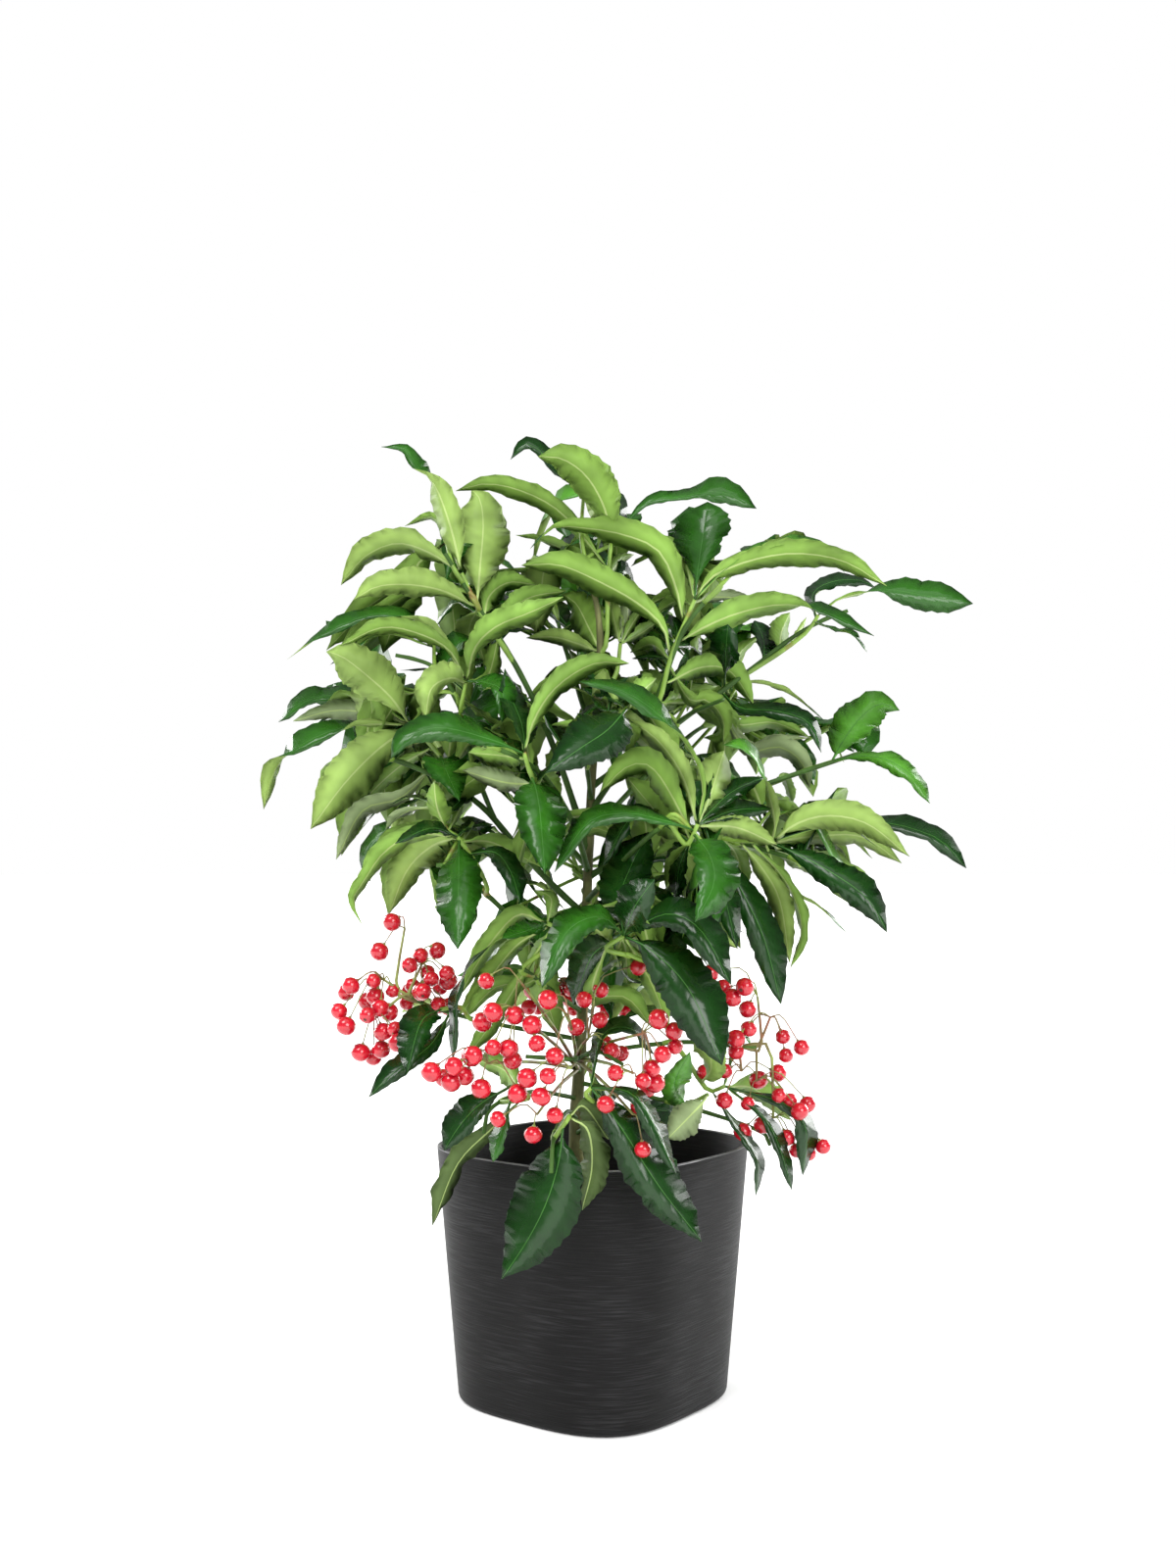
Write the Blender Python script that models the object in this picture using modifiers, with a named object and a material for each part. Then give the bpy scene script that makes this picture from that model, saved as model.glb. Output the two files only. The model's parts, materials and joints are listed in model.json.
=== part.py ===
"""Potted coral berry shrub: a planter, its soil, a branching woody stem, leaf masses and fruit clusters.

Metres, +Z up. The origin is the middle of the planter's flat underside, and -Y is the side that the
shrub shows best from. Each bough leaves its parent through a saddle cut and ends inside the mass that
it carries.
"""

import math
from collections import namedtuple
from random import Random

import bmesh
import bpy
from mathutils import Vector

# Planter: a rounded square in plan, wider at the rim than at the foot
POT_HEIGHT = 0.1276
POT_RIM_HALF = 0.0711
POT_FOOT_HALF = 0.0601
POT_RIM_SQUARENESS = 2.95
POT_FOOT_SQUARENESS = 3.2
POT_TURN = math.radians(52.4)
POT_WALL = 0.0020
POT_FOOT_ROUND = 0.0030
POT_FOOT_ROUND_STEPS = 2
POT_LIP_ROUND = 0.0006
POT_LIP_ROUND_STEPS = 1
POT_SIDES = 48
SHARP_EDGE = math.radians(60)

# Soil: it fills the planter to well below the rim
SOIL_TOP = 0.0980
SOIL_FOOT_TUCK = 0.0030
SOIL_WALL_SLACK = 0.0004

# Clearance between neighbouring pieces, and between the planter and the masses above and beside it
GAP = 0.0003
POT_CLEARANCE = 0.0020
WELD_DISTANCE = 0.00001

# Main stem: thickness, and the root flare where it meets the soil
STEM_BASE_RADIUS = 0.0046
STEM_TIP_RADIUS = 0.0016
FLARE_EXTRA = 0.0040
FLARE_HEIGHT = 0.0090

# How finely limbs are made: samples along the way, and steps that give eight or six sides
STEM_SAMPLES = 13
STEM_SIDE_STEPS = 2
BOUGH_SAMPLES = 7
BOUGH_SIDE_STEPS = 1

# A limb ends this share of the way from the middle of its mass to the mass's outline
INSIDE_SHARE = 0.3

Limb = namedtuple("Limb", "parent leaves_at way carries base_radius tip_radius")
Mass = namedtuple("Mass", "centre left right front back down up tip")
Kind = namedtuple("Kind", "notch shoulder lobes segments rings")

# Leaf masses and fruit masses: the depth of the notches and of the shoulders beside each lobe, as shares
# of the outline, the number of lobes, and the fineness of the ball
LEAF_KIND = Kind(0.58, 0.74, 13, 12, 8)
FRUIT_KIND = Kind(0.80, 0.88, 12, 10, 6)
UNEVENNESS = 0.07
SHORTEST_RAY = 0.0040
GOLDEN_ANGLE = math.pi * (3.0 - math.sqrt(5.0))

# The main stem leans a little as it rises from the soil to the leader's whorl
MAIN_STEM_WAY = (
    (-0.008, 0.000, SOIL_TOP + GAP),
    (-0.009, 0.000, 0.135),
    (-0.007, 0.001, 0.170),
    (-0.005, 0.000, 0.210),
    (-0.003, -0.001, 0.260),
    (-0.001, 0.000, 0.311),
    (0.002, -0.004, 0.355),
    (0.003, -0.008, 0.390),
)
MAIN_STEM_CARRIES = "foliage_top_centre"

# Boughs: the parent, the height at which the bough leaves it, its way from there, and its thickness
BOUGHS = {
    "bough_far_right": Limb("main_stem", 0.309, (
        (0.025, 0.010, 0.329), (0.056, 0.021, 0.352), (0.085, 0.028, 0.374), (0.112, 0.030, 0.394),
    ), "foliage_far_right", 0.0019, 0.0013),
    "bough_right_high": Limb("bough_far_right", 0.340, (
        (0.050, 0.004, 0.347),
    ), "foliage_right_high", 0.0014, 0.0012),
    "bough_top_right": Limb("main_stem", 0.296, (
        (0.017, -0.006, 0.325), (0.031, -0.011, 0.351), (0.041, -0.016, 0.378), (0.050, -0.020, 0.394),
    ), "foliage_top_right", 0.0021, 0.0013),
    "bough_top_left": Limb("main_stem", 0.276, (
        (-0.015, -0.005, 0.315), (-0.030, -0.010, 0.352), (-0.046, -0.015, 0.381), (-0.060, -0.020, 0.401),
    ), "foliage_top_left", 0.0022, 0.0013),
    "bough_back_top": Limb("main_stem", 0.330, (
        (-0.008, 0.032, 0.362), (-0.017, 0.064, 0.394),
    ), "foliage_back_top", 0.0018, 0.0013),
    "bough_left_mid": Limb("main_stem", 0.243, (
        (-0.030, 0.004, 0.268), (-0.058, 0.006, 0.300), (-0.084, 0.010, 0.316), (-0.108, 0.010, 0.325),
    ), "foliage_left_mid", 0.0022, 0.0014),
    "bough_left_high": Limb("bough_left_mid", 0.292, (
        (-0.062, 0.002, 0.322), (-0.068, -0.010, 0.350), (-0.080, -0.019, 0.368),
    ), "foliage_left_high", 0.0016, 0.0012),
    "bough_left_front": Limb("main_stem", 0.266, (
        (-0.010, -0.036, 0.289), (-0.022, -0.066, 0.309), (-0.036, -0.082, 0.319),
    ), "foliage_left_front", 0.0018, 0.0013),
    "bough_centre_front": Limb("main_stem", 0.303, (
        (-0.003, -0.034, 0.315), (-0.005, -0.066, 0.326),
    ), "foliage_centre_front", 0.0016, 0.0012),
    "bough_left_low": Limb("main_stem", 0.218, (
        (-0.032, -0.015, 0.235), (-0.051, -0.028, 0.253), (-0.068, -0.036, 0.267),
    ), "foliage_left_low", 0.0018, 0.0013),
    "bough_right_tip": Limb("main_stem", 0.263, (
        (0.025, 0.001, 0.280), (0.053, 0.005, 0.297), (0.086, 0.010, 0.310), (0.128, 0.015, 0.324),
    ), "foliage_right_tip", 0.0021, 0.0013),
    "bough_right_low": Limb("bough_right_tip", 0.291, (
        (0.063, -0.012, 0.284), (0.090, -0.025, 0.275),
    ), "foliage_right_low", 0.0016, 0.0012),
    "bough_right_front": Limb("main_stem", 0.251, (
        (0.011, -0.042, 0.268), (0.025, -0.078, 0.282),
    ), "foliage_right_front", 0.0018, 0.0013),
    "bough_front_low": Limb("main_stem", 0.206, (
        (0.004, -0.036, 0.217), (0.013, -0.072, 0.226),
    ), "foliage_front_low", 0.0018, 0.0013),
    "bough_left_inner": Limb("main_stem", 0.194, (
        (-0.022, -0.026, 0.208), (-0.036, -0.045, 0.220),
    ), "foliage_left_inner", 0.0015, 0.0012),
    "bough_back_left": Limb("main_stem", 0.268, (
        (-0.030, 0.042, 0.297), (-0.060, 0.078, 0.326),
    ), "foliage_back_left", 0.0020, 0.0013),
    "bough_back_right": Limb("main_stem", 0.285, (
        (0.024, 0.042, 0.313), (0.052, 0.080, 0.340),
    ), "foliage_back_right", 0.0020, 0.0013),
    "bough_back_low": Limb("main_stem", 0.226, (
        (-0.004, 0.046, 0.243), (-0.003, 0.085, 0.256),
    ), "foliage_back_low", 0.0018, 0.0013),
    "bough_fruit_left": Limb("main_stem", 0.180, (
        (-0.032, -0.012, 0.186), (-0.058, -0.020, 0.192), (-0.080, -0.026, 0.199),
    ), "berries_left", 0.0015, 0.0012),
    "bough_fruit_right": Limb("main_stem", 0.172, (
        (0.022, -0.012, 0.178), (0.046, -0.020, 0.181), (0.066, -0.026, 0.180),
    ), "berries_right", 0.0015, 0.0012),
    "bough_fruit_front": Limb("main_stem", 0.164, (
        (-0.009, -0.045, 0.176), (-0.010, -0.085, 0.180),
    ), "berries_front", 0.0015, 0.0012),
    "bough_fruit_front_right": Limb("bough_fruit_front", 0.174, (
        (0.001, -0.070, 0.182),
    ), "berries_front_right", 0.0013, 0.0011),
    "bough_fruit_back": Limb("main_stem", 0.188, (
        (-0.004, 0.040, 0.192), (-0.001, 0.070, 0.188),
    ), "berries_back", 0.0015, 0.0012),
    "bough_skirt_left": Limb("main_stem", 0.150, (
        (-0.030, -0.032, 0.158), (-0.048, -0.064, 0.155),
    ), "skirt_left", 0.0014, 0.0012),
    "bough_skirt_front": Limb("main_stem", 0.140, (
        (-0.013, -0.045, 0.150), (-0.018, -0.096, 0.147),
    ), "skirt_front", 0.0014, 0.0012),
    "bough_skirt_front_right": Limb("main_stem", 0.132, (
        (0.006, -0.042, 0.147), (0.018, -0.088, 0.150),
    ), "skirt_front_right", 0.0014, 0.0012),
    "bough_skirt_right": Limb("main_stem", 0.158, (
        (0.030, -0.010, 0.152), (0.079, -0.025, 0.139),
    ), "skirt_right", 0.0014, 0.0012),
    "bough_skirt_back": Limb("main_stem", 0.145, (
        (-0.006, 0.045, 0.158), (-0.003, 0.092, 0.160),
    ), "skirt_back", 0.0014, 0.0012),
}

# Leaf masses: the middle, how far each reaches six ways, and the tip of its longest leaf
LEAF_MASSES = {
    "foliage_top_left": Mass((-0.074, -0.020, 0.427), 0.055, 0.036, 0.050, 0.045, 0.036, 0.056,
                             (-0.108, -0.020, 0.482)),
    "foliage_top_centre": Mass((-0.003, -0.010, 0.437), 0.060, 0.042, 0.050, 0.045, 0.042, 0.047,
                               (-0.029, -0.012, 0.486)),
    "foliage_top_right": Mass((0.066, -0.020, 0.416), 0.038, 0.048, 0.050, 0.040, 0.042, 0.044,
                              (0.083, -0.020, 0.455)),
    "foliage_far_right": Mass((0.137, 0.030, 0.410), 0.040, 0.064, 0.045, 0.045, 0.034, 0.034,
                              (0.201, 0.028, 0.408)),
    "foliage_left_high": Mass((-0.108, -0.020, 0.377), 0.046, 0.046, 0.050, 0.045, 0.030, 0.030,
                              (-0.152, -0.030, 0.374)),
    "foliage_left_mid": Mass((-0.127, 0.005, 0.328), 0.044, 0.046, 0.050, 0.050, 0.043, 0.034,
                             (-0.170, 0.005, 0.302)),
    "foliage_left_front": Mass((-0.055, -0.090, 0.326), 0.038, 0.034, 0.038, 0.040, 0.034, 0.036,
                               (-0.092, -0.098, 0.319)),
    "foliage_left_low": Mass((-0.086, -0.040, 0.273), 0.042, 0.042, 0.048, 0.050, 0.044, 0.034,
                             (-0.066, -0.048, 0.230)),
    "foliage_centre_front": Mass((-0.003, -0.088, 0.344), 0.036, 0.040, 0.038, 0.040, 0.034, 0.038,
                                 (0.012, -0.098, 0.376)),
    "foliage_right_high": Mass((0.075, -0.024, 0.358), 0.044, 0.044, 0.045, 0.040, 0.036, 0.034,
                               (0.115, -0.030, 0.342)),
    "foliage_right_tip": Mass((0.143, 0.015, 0.329), 0.028, 0.035, 0.035, 0.035, 0.027, 0.030,
                              (0.176, 0.012, 0.304)),
    "foliage_right_front": Mass((0.041, -0.092, 0.297), 0.052, 0.048, 0.038, 0.045, 0.050, 0.042,
                                (0.047, -0.108, 0.246)),
    "foliage_right_low": Mass((0.120, -0.030, 0.266), 0.054, 0.065, 0.055, 0.050, 0.047, 0.040,
                              (0.185, -0.030, 0.269)),
    "foliage_front_low": Mass((0.019, -0.090, 0.228), 0.043, 0.042, 0.035, 0.035, 0.050, 0.047,
                              (0.059, -0.100, 0.179)),
    "foliage_left_inner": Mass((-0.043, -0.055, 0.231), 0.035, 0.019, 0.030, 0.030, 0.050, 0.019,
                               (-0.064, -0.060, 0.183)),
    "foliage_back_top": Mass((-0.025, 0.085, 0.420), 0.050, 0.055, 0.040, 0.050, 0.050, 0.050,
                             (-0.050, 0.128, 0.448)),
    "foliage_back_left": Mass((-0.087, 0.105, 0.350), 0.056, 0.051, 0.045, 0.060, 0.056, 0.056,
                              (-0.137, 0.140, 0.330)),
    "foliage_back_right": Mass((0.076, 0.110, 0.361), 0.057, 0.062, 0.045, 0.060, 0.062, 0.057,
                               (0.118, 0.154, 0.340)),
    "foliage_back_low": Mass((-0.003, 0.120, 0.271), 0.069, 0.069, 0.050, 0.060, 0.057, 0.050,
                             (-0.010, 0.178, 0.236)),
    "skirt_front": Mass((-0.020, -0.115, 0.137), 0.021, 0.018, 0.020, 0.020, 0.052, 0.024,
                        (-0.037, -0.113, 0.086)),
    "skirt_front_right": Mass((0.024, -0.105, 0.141), 0.027, 0.024, 0.020, 0.020, 0.038, 0.031,
                              (0.048, -0.106, 0.104)),
    "skirt_left": Mass((-0.058, -0.080, 0.141), 0.017, 0.028, 0.020, 0.030, 0.038, 0.032,
                       (-0.074, -0.080, 0.104)),
    "skirt_right": Mass((0.093, -0.030, 0.130), 0.019, 0.018, 0.030, 0.030, 0.022, 0.019,
                        (0.097, -0.034, 0.106)),
    "skirt_back": Mass((-0.003, 0.110, 0.152), 0.045, 0.051, 0.030, 0.040, 0.045, 0.035,
                       (0.014, 0.128, 0.104)),
}

# Fruit masses: the same measures, the tip being the furthest berry
FRUIT_MASSES = {
    "berries_left": Mass((-0.100, -0.030, 0.208), 0.030, 0.033, 0.035, 0.035, 0.037, 0.037,
                         (-0.100, -0.030, 0.245)),
    "berries_front": Mass((-0.042, -0.100, 0.184), 0.035, 0.030, 0.030, 0.030, 0.041, 0.036,
                          (-0.076, -0.100, 0.178)),
    "berries_front_right": Mass((0.021, -0.100, 0.178), 0.024, 0.022, 0.030, 0.030, 0.042, 0.024,
                                (0.023, -0.104, 0.138)),
    "berries_right": Mass((0.088, -0.030, 0.176), 0.030, 0.034, 0.035, 0.035, 0.046, 0.044,
                          (0.118, -0.030, 0.142)),
    "berries_back": Mass((-0.004, 0.096, 0.198), 0.064, 0.060, 0.030, 0.036, 0.030, 0.022,
                         (0.052, 0.104, 0.182)),
}

MASSES = {**LEAF_MASSES, **FRUIT_MASSES}

PARTS_COLLECTION = "potted_ardisia"
CUTTERS_COLLECTION = "cutters"


def clear_scene():
    for old in list(bpy.data.objects):
        bpy.data.objects.remove(old, do_unlink=True)


def new_collection(name):
    collection = bpy.data.collections.new(name)
    bpy.context.scene.collection.children.link(collection)
    return collection


def make_material(name, colour, roughness, metallic=0.0):
    material = bpy.data.materials.new(name)
    material.use_nodes = True
    shader = material.node_tree.nodes["Principled BSDF"]
    shader.inputs["Base Color"].default_value = (*colour, 1.0)
    shader.inputs["Roughness"].default_value = roughness
    shader.inputs["Metallic"].default_value = metallic
    return material


def add_object(name, bm, collection, material=None):
    """Turn a finished bmesh into a named object."""
    mesh = bpy.data.meshes.new(name)
    bm.to_mesh(mesh)
    bm.free()
    if material:
        mesh.materials.append(material)
    piece = bpy.data.objects.new(name, mesh)
    collection.objects.link(piece)
    return piece


def round_square_radius(half, squareness, angle):
    """Distance from the middle of a rounded square to its edge, at an angle from its face's normal."""
    spread = abs(math.cos(angle)) ** squareness + abs(math.sin(angle)) ** squareness
    return half * spread ** (-1.0 / squareness)


def pot_plan(height):
    """Half width and squareness of the planter's outside at a height."""
    share = height / POT_HEIGHT
    half = POT_FOOT_HALF + (POT_RIM_HALF - POT_FOOT_HALF) * share
    squareness = POT_FOOT_SQUARENESS + (POT_RIM_SQUARENESS - POT_FOOT_SQUARENESS) * share
    return half, squareness


def set_ring(verts, half, squareness, height):
    """Move a ring of vertices out or in to a rounded square at one height."""
    for vert in verts:
        angle = math.atan2(vert.co.y, vert.co.x)
        radius = round_square_radius(half, squareness, angle)
        vert.co = Vector((radius * math.cos(angle), radius * math.sin(angle), height))


def raise_ring(bm, edges, half, squareness, height):
    """Extrude a ring of edges and set the new ring, which is returned as edges."""
    grown = bmesh.ops.extrude_edge_only(bm, edges=edges)["geom"]
    set_ring([item for item in grown if isinstance(item, bmesh.types.BMVert)], half, squareness, height)
    return [item for item in grown if isinstance(item, bmesh.types.BMEdge)]


def add_rounding(piece, width, segments):
    bevel = piece.modifiers.new("rounding", "BEVEL")
    bevel.limit_method = "ANGLE"
    bevel.angle_limit = SHARP_EDGE
    bevel.width = width
    bevel.segments = segments


def make_pot(collection, material):
    """An open bucket of rounded-square rings, given its wall thickness inwards."""
    bm = bmesh.new()
    circle = bmesh.ops.create_circle(bm, cap_ends=True, segments=POT_SIDES, radius=1.0)
    set_ring(circle["verts"], POT_FOOT_HALF, POT_FOOT_SQUARENESS, 0.0)
    raise_ring(bm, bm.edges[:], POT_RIM_HALF, POT_RIM_SQUARENESS, POT_HEIGHT)
    bmesh.ops.recalc_face_normals(bm, faces=bm.faces[:])
    pot = add_object("pot", bm, collection, material)
    pot.rotation_euler.z = POT_TURN
    add_rounding(pot, POT_FOOT_ROUND, POT_FOOT_ROUND_STEPS)
    wall = pot.modifiers.new("wall", "SOLIDIFY")
    wall.thickness = POT_WALL
    wall.offset = -1.0
    wall.use_even_offset = True
    add_rounding(pot, POT_LIP_ROUND, POT_LIP_ROUND_STEPS)


def make_soil(collection, material):
    """A plug of soil that follows the planter's inner wall up to its flat top."""
    bm = bmesh.new()
    floor = POT_WALL + GAP
    side_gap = POT_WALL + SOIL_WALL_SLACK
    half, squareness = pot_plan(floor)
    circle = bmesh.ops.create_circle(bm, cap_ends=True, segments=POT_SIDES, radius=1.0)
    set_ring(circle["verts"], half - side_gap - SOIL_FOOT_TUCK, squareness, floor)
    ring = bm.edges[:]
    for height in (floor + SOIL_FOOT_TUCK, SOIL_TOP):
        half, squareness = pot_plan(height)
        ring = raise_ring(bm, ring, half - side_gap, squareness, height)
    bmesh.ops.holes_fill(bm, edges=ring, sides=POT_SIDES)
    bmesh.ops.recalc_face_normals(bm, faces=bm.faces[:])
    soil = add_object("soil", bm, collection, material)
    soil.rotation_euler.z = POT_TURN


def smooth_way(points, samples):
    """Evenly spread samples of a smooth curve through the points."""
    way = [Vector(point) for point in points]
    way.insert(0, way[0] * 2.0 - way[1])
    way.append(way[-1] * 2.0 - way[-2])
    spans = len(way) - 3
    result = []
    for step in range(samples):
        place = spans * step / (samples - 1)
        span = min(int(place), spans - 1)
        t = place - span
        before, start, end, after = way[span:span + 4]
        result.append(0.5 * (
            2.0 * start + (end - before) * t
            + (2.0 * before - 5.0 * start + 4.0 * end - after) * t ** 2
            + (3.0 * start - before - 3.0 * end + after) * t ** 3
        ))
    return result


def point_at_height(way, height):
    """The point of a rising way at a height."""
    for low, high in zip(way, way[1:]):
        if low.z <= height <= high.z:
            return low.lerp(high, (height - low.z) / (high.z - low.z))
    raise ValueError(f"the way doesn't reach a height of {height}")


def make_tube(name, way, radii, side_steps, collection, material=None):
    """A tapering round tube along a way, as a mesh with its caps welded on."""
    curve = bpy.data.curves.new(name, "CURVE")
    curve.dimensions = "3D"
    curve.twist_mode = "MINIMUM"
    curve.bevel_depth = max(radii)
    curve.bevel_resolution = side_steps
    curve.use_fill_caps = True
    spline = curve.splines.new("POLY")
    spline.points.add(len(way) - 1)
    for point, place, radius in zip(spline.points, way, radii):
        point.co = (*place, 1.0)
        point.radius = radius / curve.bevel_depth
    guide = bpy.data.objects.new(name + "_guide", curve)
    collection.objects.link(guide)
    graph = bpy.context.evaluated_depsgraph_get()
    mesh = bpy.data.meshes.new_from_object(guide.evaluated_get(graph))
    bm = bmesh.new()
    bm.from_mesh(mesh)
    bmesh.ops.remove_doubles(bm, verts=bm.verts[:], dist=WELD_DISTANCE)
    bmesh.ops.recalc_face_normals(bm, faces=bm.faces[:])
    tube = add_object(name, bm, collection, material)
    tube.matrix_world = guide.matrix_world
    bpy.data.objects.remove(guide, do_unlink=True)
    bpy.data.meshes.remove(mesh)
    return tube


def stem_radius(share, height_above_soil):
    """The stem's even taper, with the root flare that dies away above the soil."""
    taper = STEM_BASE_RADIUS + (STEM_TIP_RADIUS - STEM_BASE_RADIUS) * share
    return taper + FLARE_EXTRA * math.exp(-height_above_soil / FLARE_HEIGHT)


def make_limb(name, way, radii, side_steps, parts, cutters, material):
    """One limb, and the slightly thicker cutter that clears its neighbours from it."""
    limb = make_tube(name, way, radii, side_steps, parts, material)
    first_step = (way[0] - way[1]).normalized() * GAP
    last_step = (way[-1] - way[-2]).normalized() * GAP
    longer_way = [way[0] + first_step] + way[1:-1] + [way[-1] + last_step]
    side_count = 4 + 2 * side_steps
    clearance = GAP / math.cos(math.pi / side_count)
    wider_radii = [radius + clearance for radius in radii]
    cutter = make_tube(name + "_cutter", longer_way, wider_radii, side_steps, cutters)
    cutter.hide_render = True
    cutter.display_type = "WIRE"
    return limb, cutter


def cut_round(piece, cutter):
    """Take the cutter's space out of a piece."""
    cut = piece.modifiers.new("clear_" + cutter.name, "BOOLEAN")
    cut.operation = "DIFFERENCE"
    cut.solver = "EXACT"
    cut.object = cutter


def box_of(piece):
    corners = [vert.co for vert in piece.data.vertices]
    low = Vector(min(corner[axis] for corner in corners) for axis in range(3))
    high = Vector(max(corner[axis] for corner in corners) for axis in range(3))
    return low, high


def boxes_meet(one, other):
    low_one, high_one = box_of(one)
    low_other, high_other = box_of(other)
    return all(low_one[axis] < high_other[axis] and low_other[axis] < high_one[axis] for axis in range(3))


def ray_to_envelope(mass, direction):
    """How far an uneven ellipsoid with six different half-axes reaches along a direction."""
    along_x = mass.right if direction.x > 0.0 else mass.left
    along_y = mass.back if direction.y > 0.0 else mass.front
    along_z = mass.up if direction.z > 0.0 else mass.down
    scaled = Vector((direction.x / along_x, direction.y / along_y, direction.z / along_z))
    return 1.0 / scaled.length


def place_inside(name, approach):
    """Where a limb that comes from the approach point ends inside its mass."""
    mass = MASSES[name]
    centre = Vector(mass.centre)
    direction = (Vector(approach) - centre).normalized()
    return centre + direction * ray_to_envelope(mass, direction) * INSIDE_SHARE


def make_limbs(parts, cutters, bark, green_bark):
    """The main stem and every bough, each bough cut to a saddle on its parent."""
    stem_way = MAIN_STEM_WAY + (place_inside(MAIN_STEM_CARRIES, MAIN_STEM_WAY[-1]),)
    way = smooth_way(stem_way, STEM_SAMPLES)
    radii = [stem_radius(step / (STEM_SAMPLES - 1), place.z - way[0].z) for step, place in enumerate(way)]
    limbs = {"main_stem": make_limb("main_stem", way, radii, STEM_SIDE_STEPS, parts, cutters, bark)}
    ways = {"main_stem": way}
    for name, bough in BOUGHS.items():
        start = point_at_height(ways[bough.parent], bough.leaves_at)
        end = place_inside(bough.carries, bough.way[-1])
        way = smooth_way((start,) + bough.way + (end,), BOUGH_SAMPLES)
        radii = [
            bough.base_radius + (bough.tip_radius - bough.base_radius) * step / (BOUGH_SAMPLES - 1)
            for step in range(BOUGH_SAMPLES)
        ]
        limbs[name] = make_limb(name, way, radii, BOUGH_SIDE_STEPS, parts, cutters, green_bark)
        ways[name] = way
        cut_round(limbs[name][0], limbs[bough.parent][1])
    return limbs


def mass_limits(name):
    """Planes, as a normal and a distance from the middle, that keep a mass to its own space."""
    mass = MASSES[name]
    centre = Vector(mass.centre)
    limits = []
    for other_name, other in MASSES.items():
        if other_name == name:
            continue
        step = Vector(other.centre) - centre
        normal = step.normalized()
        own = ray_to_envelope(mass, normal)
        theirs = ray_to_envelope(other, -normal)
        limits.append((normal, step.length * own / (own + theirs) - GAP))
    if name.startswith("skirt"):
        outwards = Vector((centre.x, centre.y, 0.0))
        normal = outwards.normalized()
        angle = math.atan2(normal.y, normal.x) - POT_TURN
        dual = POT_RIM_SQUARENESS / (POT_RIM_SQUARENESS - 1.0)
        support = POT_RIM_HALF * (abs(math.cos(angle)) ** dual + abs(math.sin(angle)) ** dual) ** (1.0 / dual)
        limits.append((-normal, outwards.length - support - POT_CLEARANCE))
    else:
        limits.append((Vector((0.0, 0.0, -1.0)), centre.z - POT_HEIGHT - POT_CLEARANCE))
    return limits


def lobe_directions(count, seed):
    """Directions spread evenly over a ball, turned by the seed."""
    start = Random(seed).uniform(0.0, math.tau)
    directions = []
    for index in range(count):
        height = 1.0 - 2.0 * (index + 0.5) / count
        across = math.sqrt(1.0 - height * height)
        angle = start + index * GOLDEN_ANGLE
        directions.append(Vector((across * math.cos(angle), across * math.sin(angle), height)))
    return directions


def pull_out_lobes(bm, mass, kind, seed):
    """The direction and reach of every vertex of the ball, and which vertices are the lobes' tips."""
    rays = {}
    for vert in bm.verts:
        direction = vert.co.normalized()
        rays[vert] = (direction, kind.notch * ray_to_envelope(mass, direction))
    longest = Vector(mass.tip) - Vector(mass.centre)
    pulls = [(longest.normalized(), longest.length)]
    pulls += [(way, ray_to_envelope(mass, way)) for way in lobe_directions(kind.lobes, seed)]
    tips = set()
    for direction, reach in pulls:
        nearest = max(rays, key=lambda vert: vert.co.dot(direction))
        neighbours = [edge.other_vert(nearest) for edge in nearest.link_edges]
        if nearest in tips or tips.intersection(neighbours):
            continue
        tips.add(nearest)
        rays[nearest] = (direction, reach)
        for beside in neighbours:
            way = rays[beside][0]
            rays[beside] = (way, kind.shoulder * ray_to_envelope(mass, way))
    return rays, tips


def make_mass(name, kind, seed, collection, material):
    """One closed uneven solid: a ball pulled out to its lobes, kept inside its own space."""
    mass = MASSES[name]
    centre = Vector(mass.centre)
    rng = Random(seed)
    limits = mass_limits(name)
    bm = bmesh.new()
    bmesh.ops.create_uvsphere(bm, u_segments=kind.segments, v_segments=kind.rings, radius=1.0)
    rays, tips = pull_out_lobes(bm, mass, kind, seed)
    for vert, (direction, reach) in rays.items():
        if vert not in tips:
            reach *= 1.0 - rng.uniform(0.0, UNEVENNESS)
        for normal, distance in limits:
            towards = direction.dot(normal)
            if towards > 0.0:
                reach = min(reach, distance / towards)
        vert.co = centre + direction * max(reach, SHORTEST_RAY)
    bmesh.ops.recalc_face_normals(bm, faces=bm.faces[:])
    return add_object(name, bm, collection, material)


def make_masses(limbs, parts, leaf, fruit):
    """Every leaf and fruit mass, each cleared round the limbs that reach it."""
    for seed, name in enumerate(MASSES):
        if name in LEAF_MASSES:
            piece = make_mass(name, LEAF_KIND, seed, parts, leaf)
        else:
            piece = make_mass(name, FRUIT_KIND, seed, parts, fruit)
        for _, cutter in limbs.values():
            if boxes_meet(piece, cutter):
                cut_round(piece, cutter)


def main():
    clear_scene()
    parts = new_collection(PARTS_COLLECTION)
    cutters = new_collection(CUTTERS_COLLECTION)
    charcoal = make_material("pot_plastic", (0.045, 0.045, 0.047), 0.5)
    earth = make_material("soil", (0.035, 0.022, 0.014), 0.95)
    bark = make_material("bark", (0.09, 0.10, 0.05), 0.75)
    green_bark = make_material("green_bark", (0.12, 0.20, 0.05), 0.6)
    leaf = make_material("leaves", (0.09, 0.26, 0.04), 0.45)
    fruit = make_material("berries", (0.72, 0.03, 0.06), 0.25)
    make_pot(parts, charcoal)
    make_soil(parts, earth)
    limbs = make_limbs(parts, cutters, bark, green_bark)
    make_masses(limbs, parts, leaf, fruit)


main()
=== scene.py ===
"""Looks of a potted coral berry shrub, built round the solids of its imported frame.

Metres, +Z up, in the frame's own axes. -Y is the side that the shrub shows best from.
"""

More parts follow.
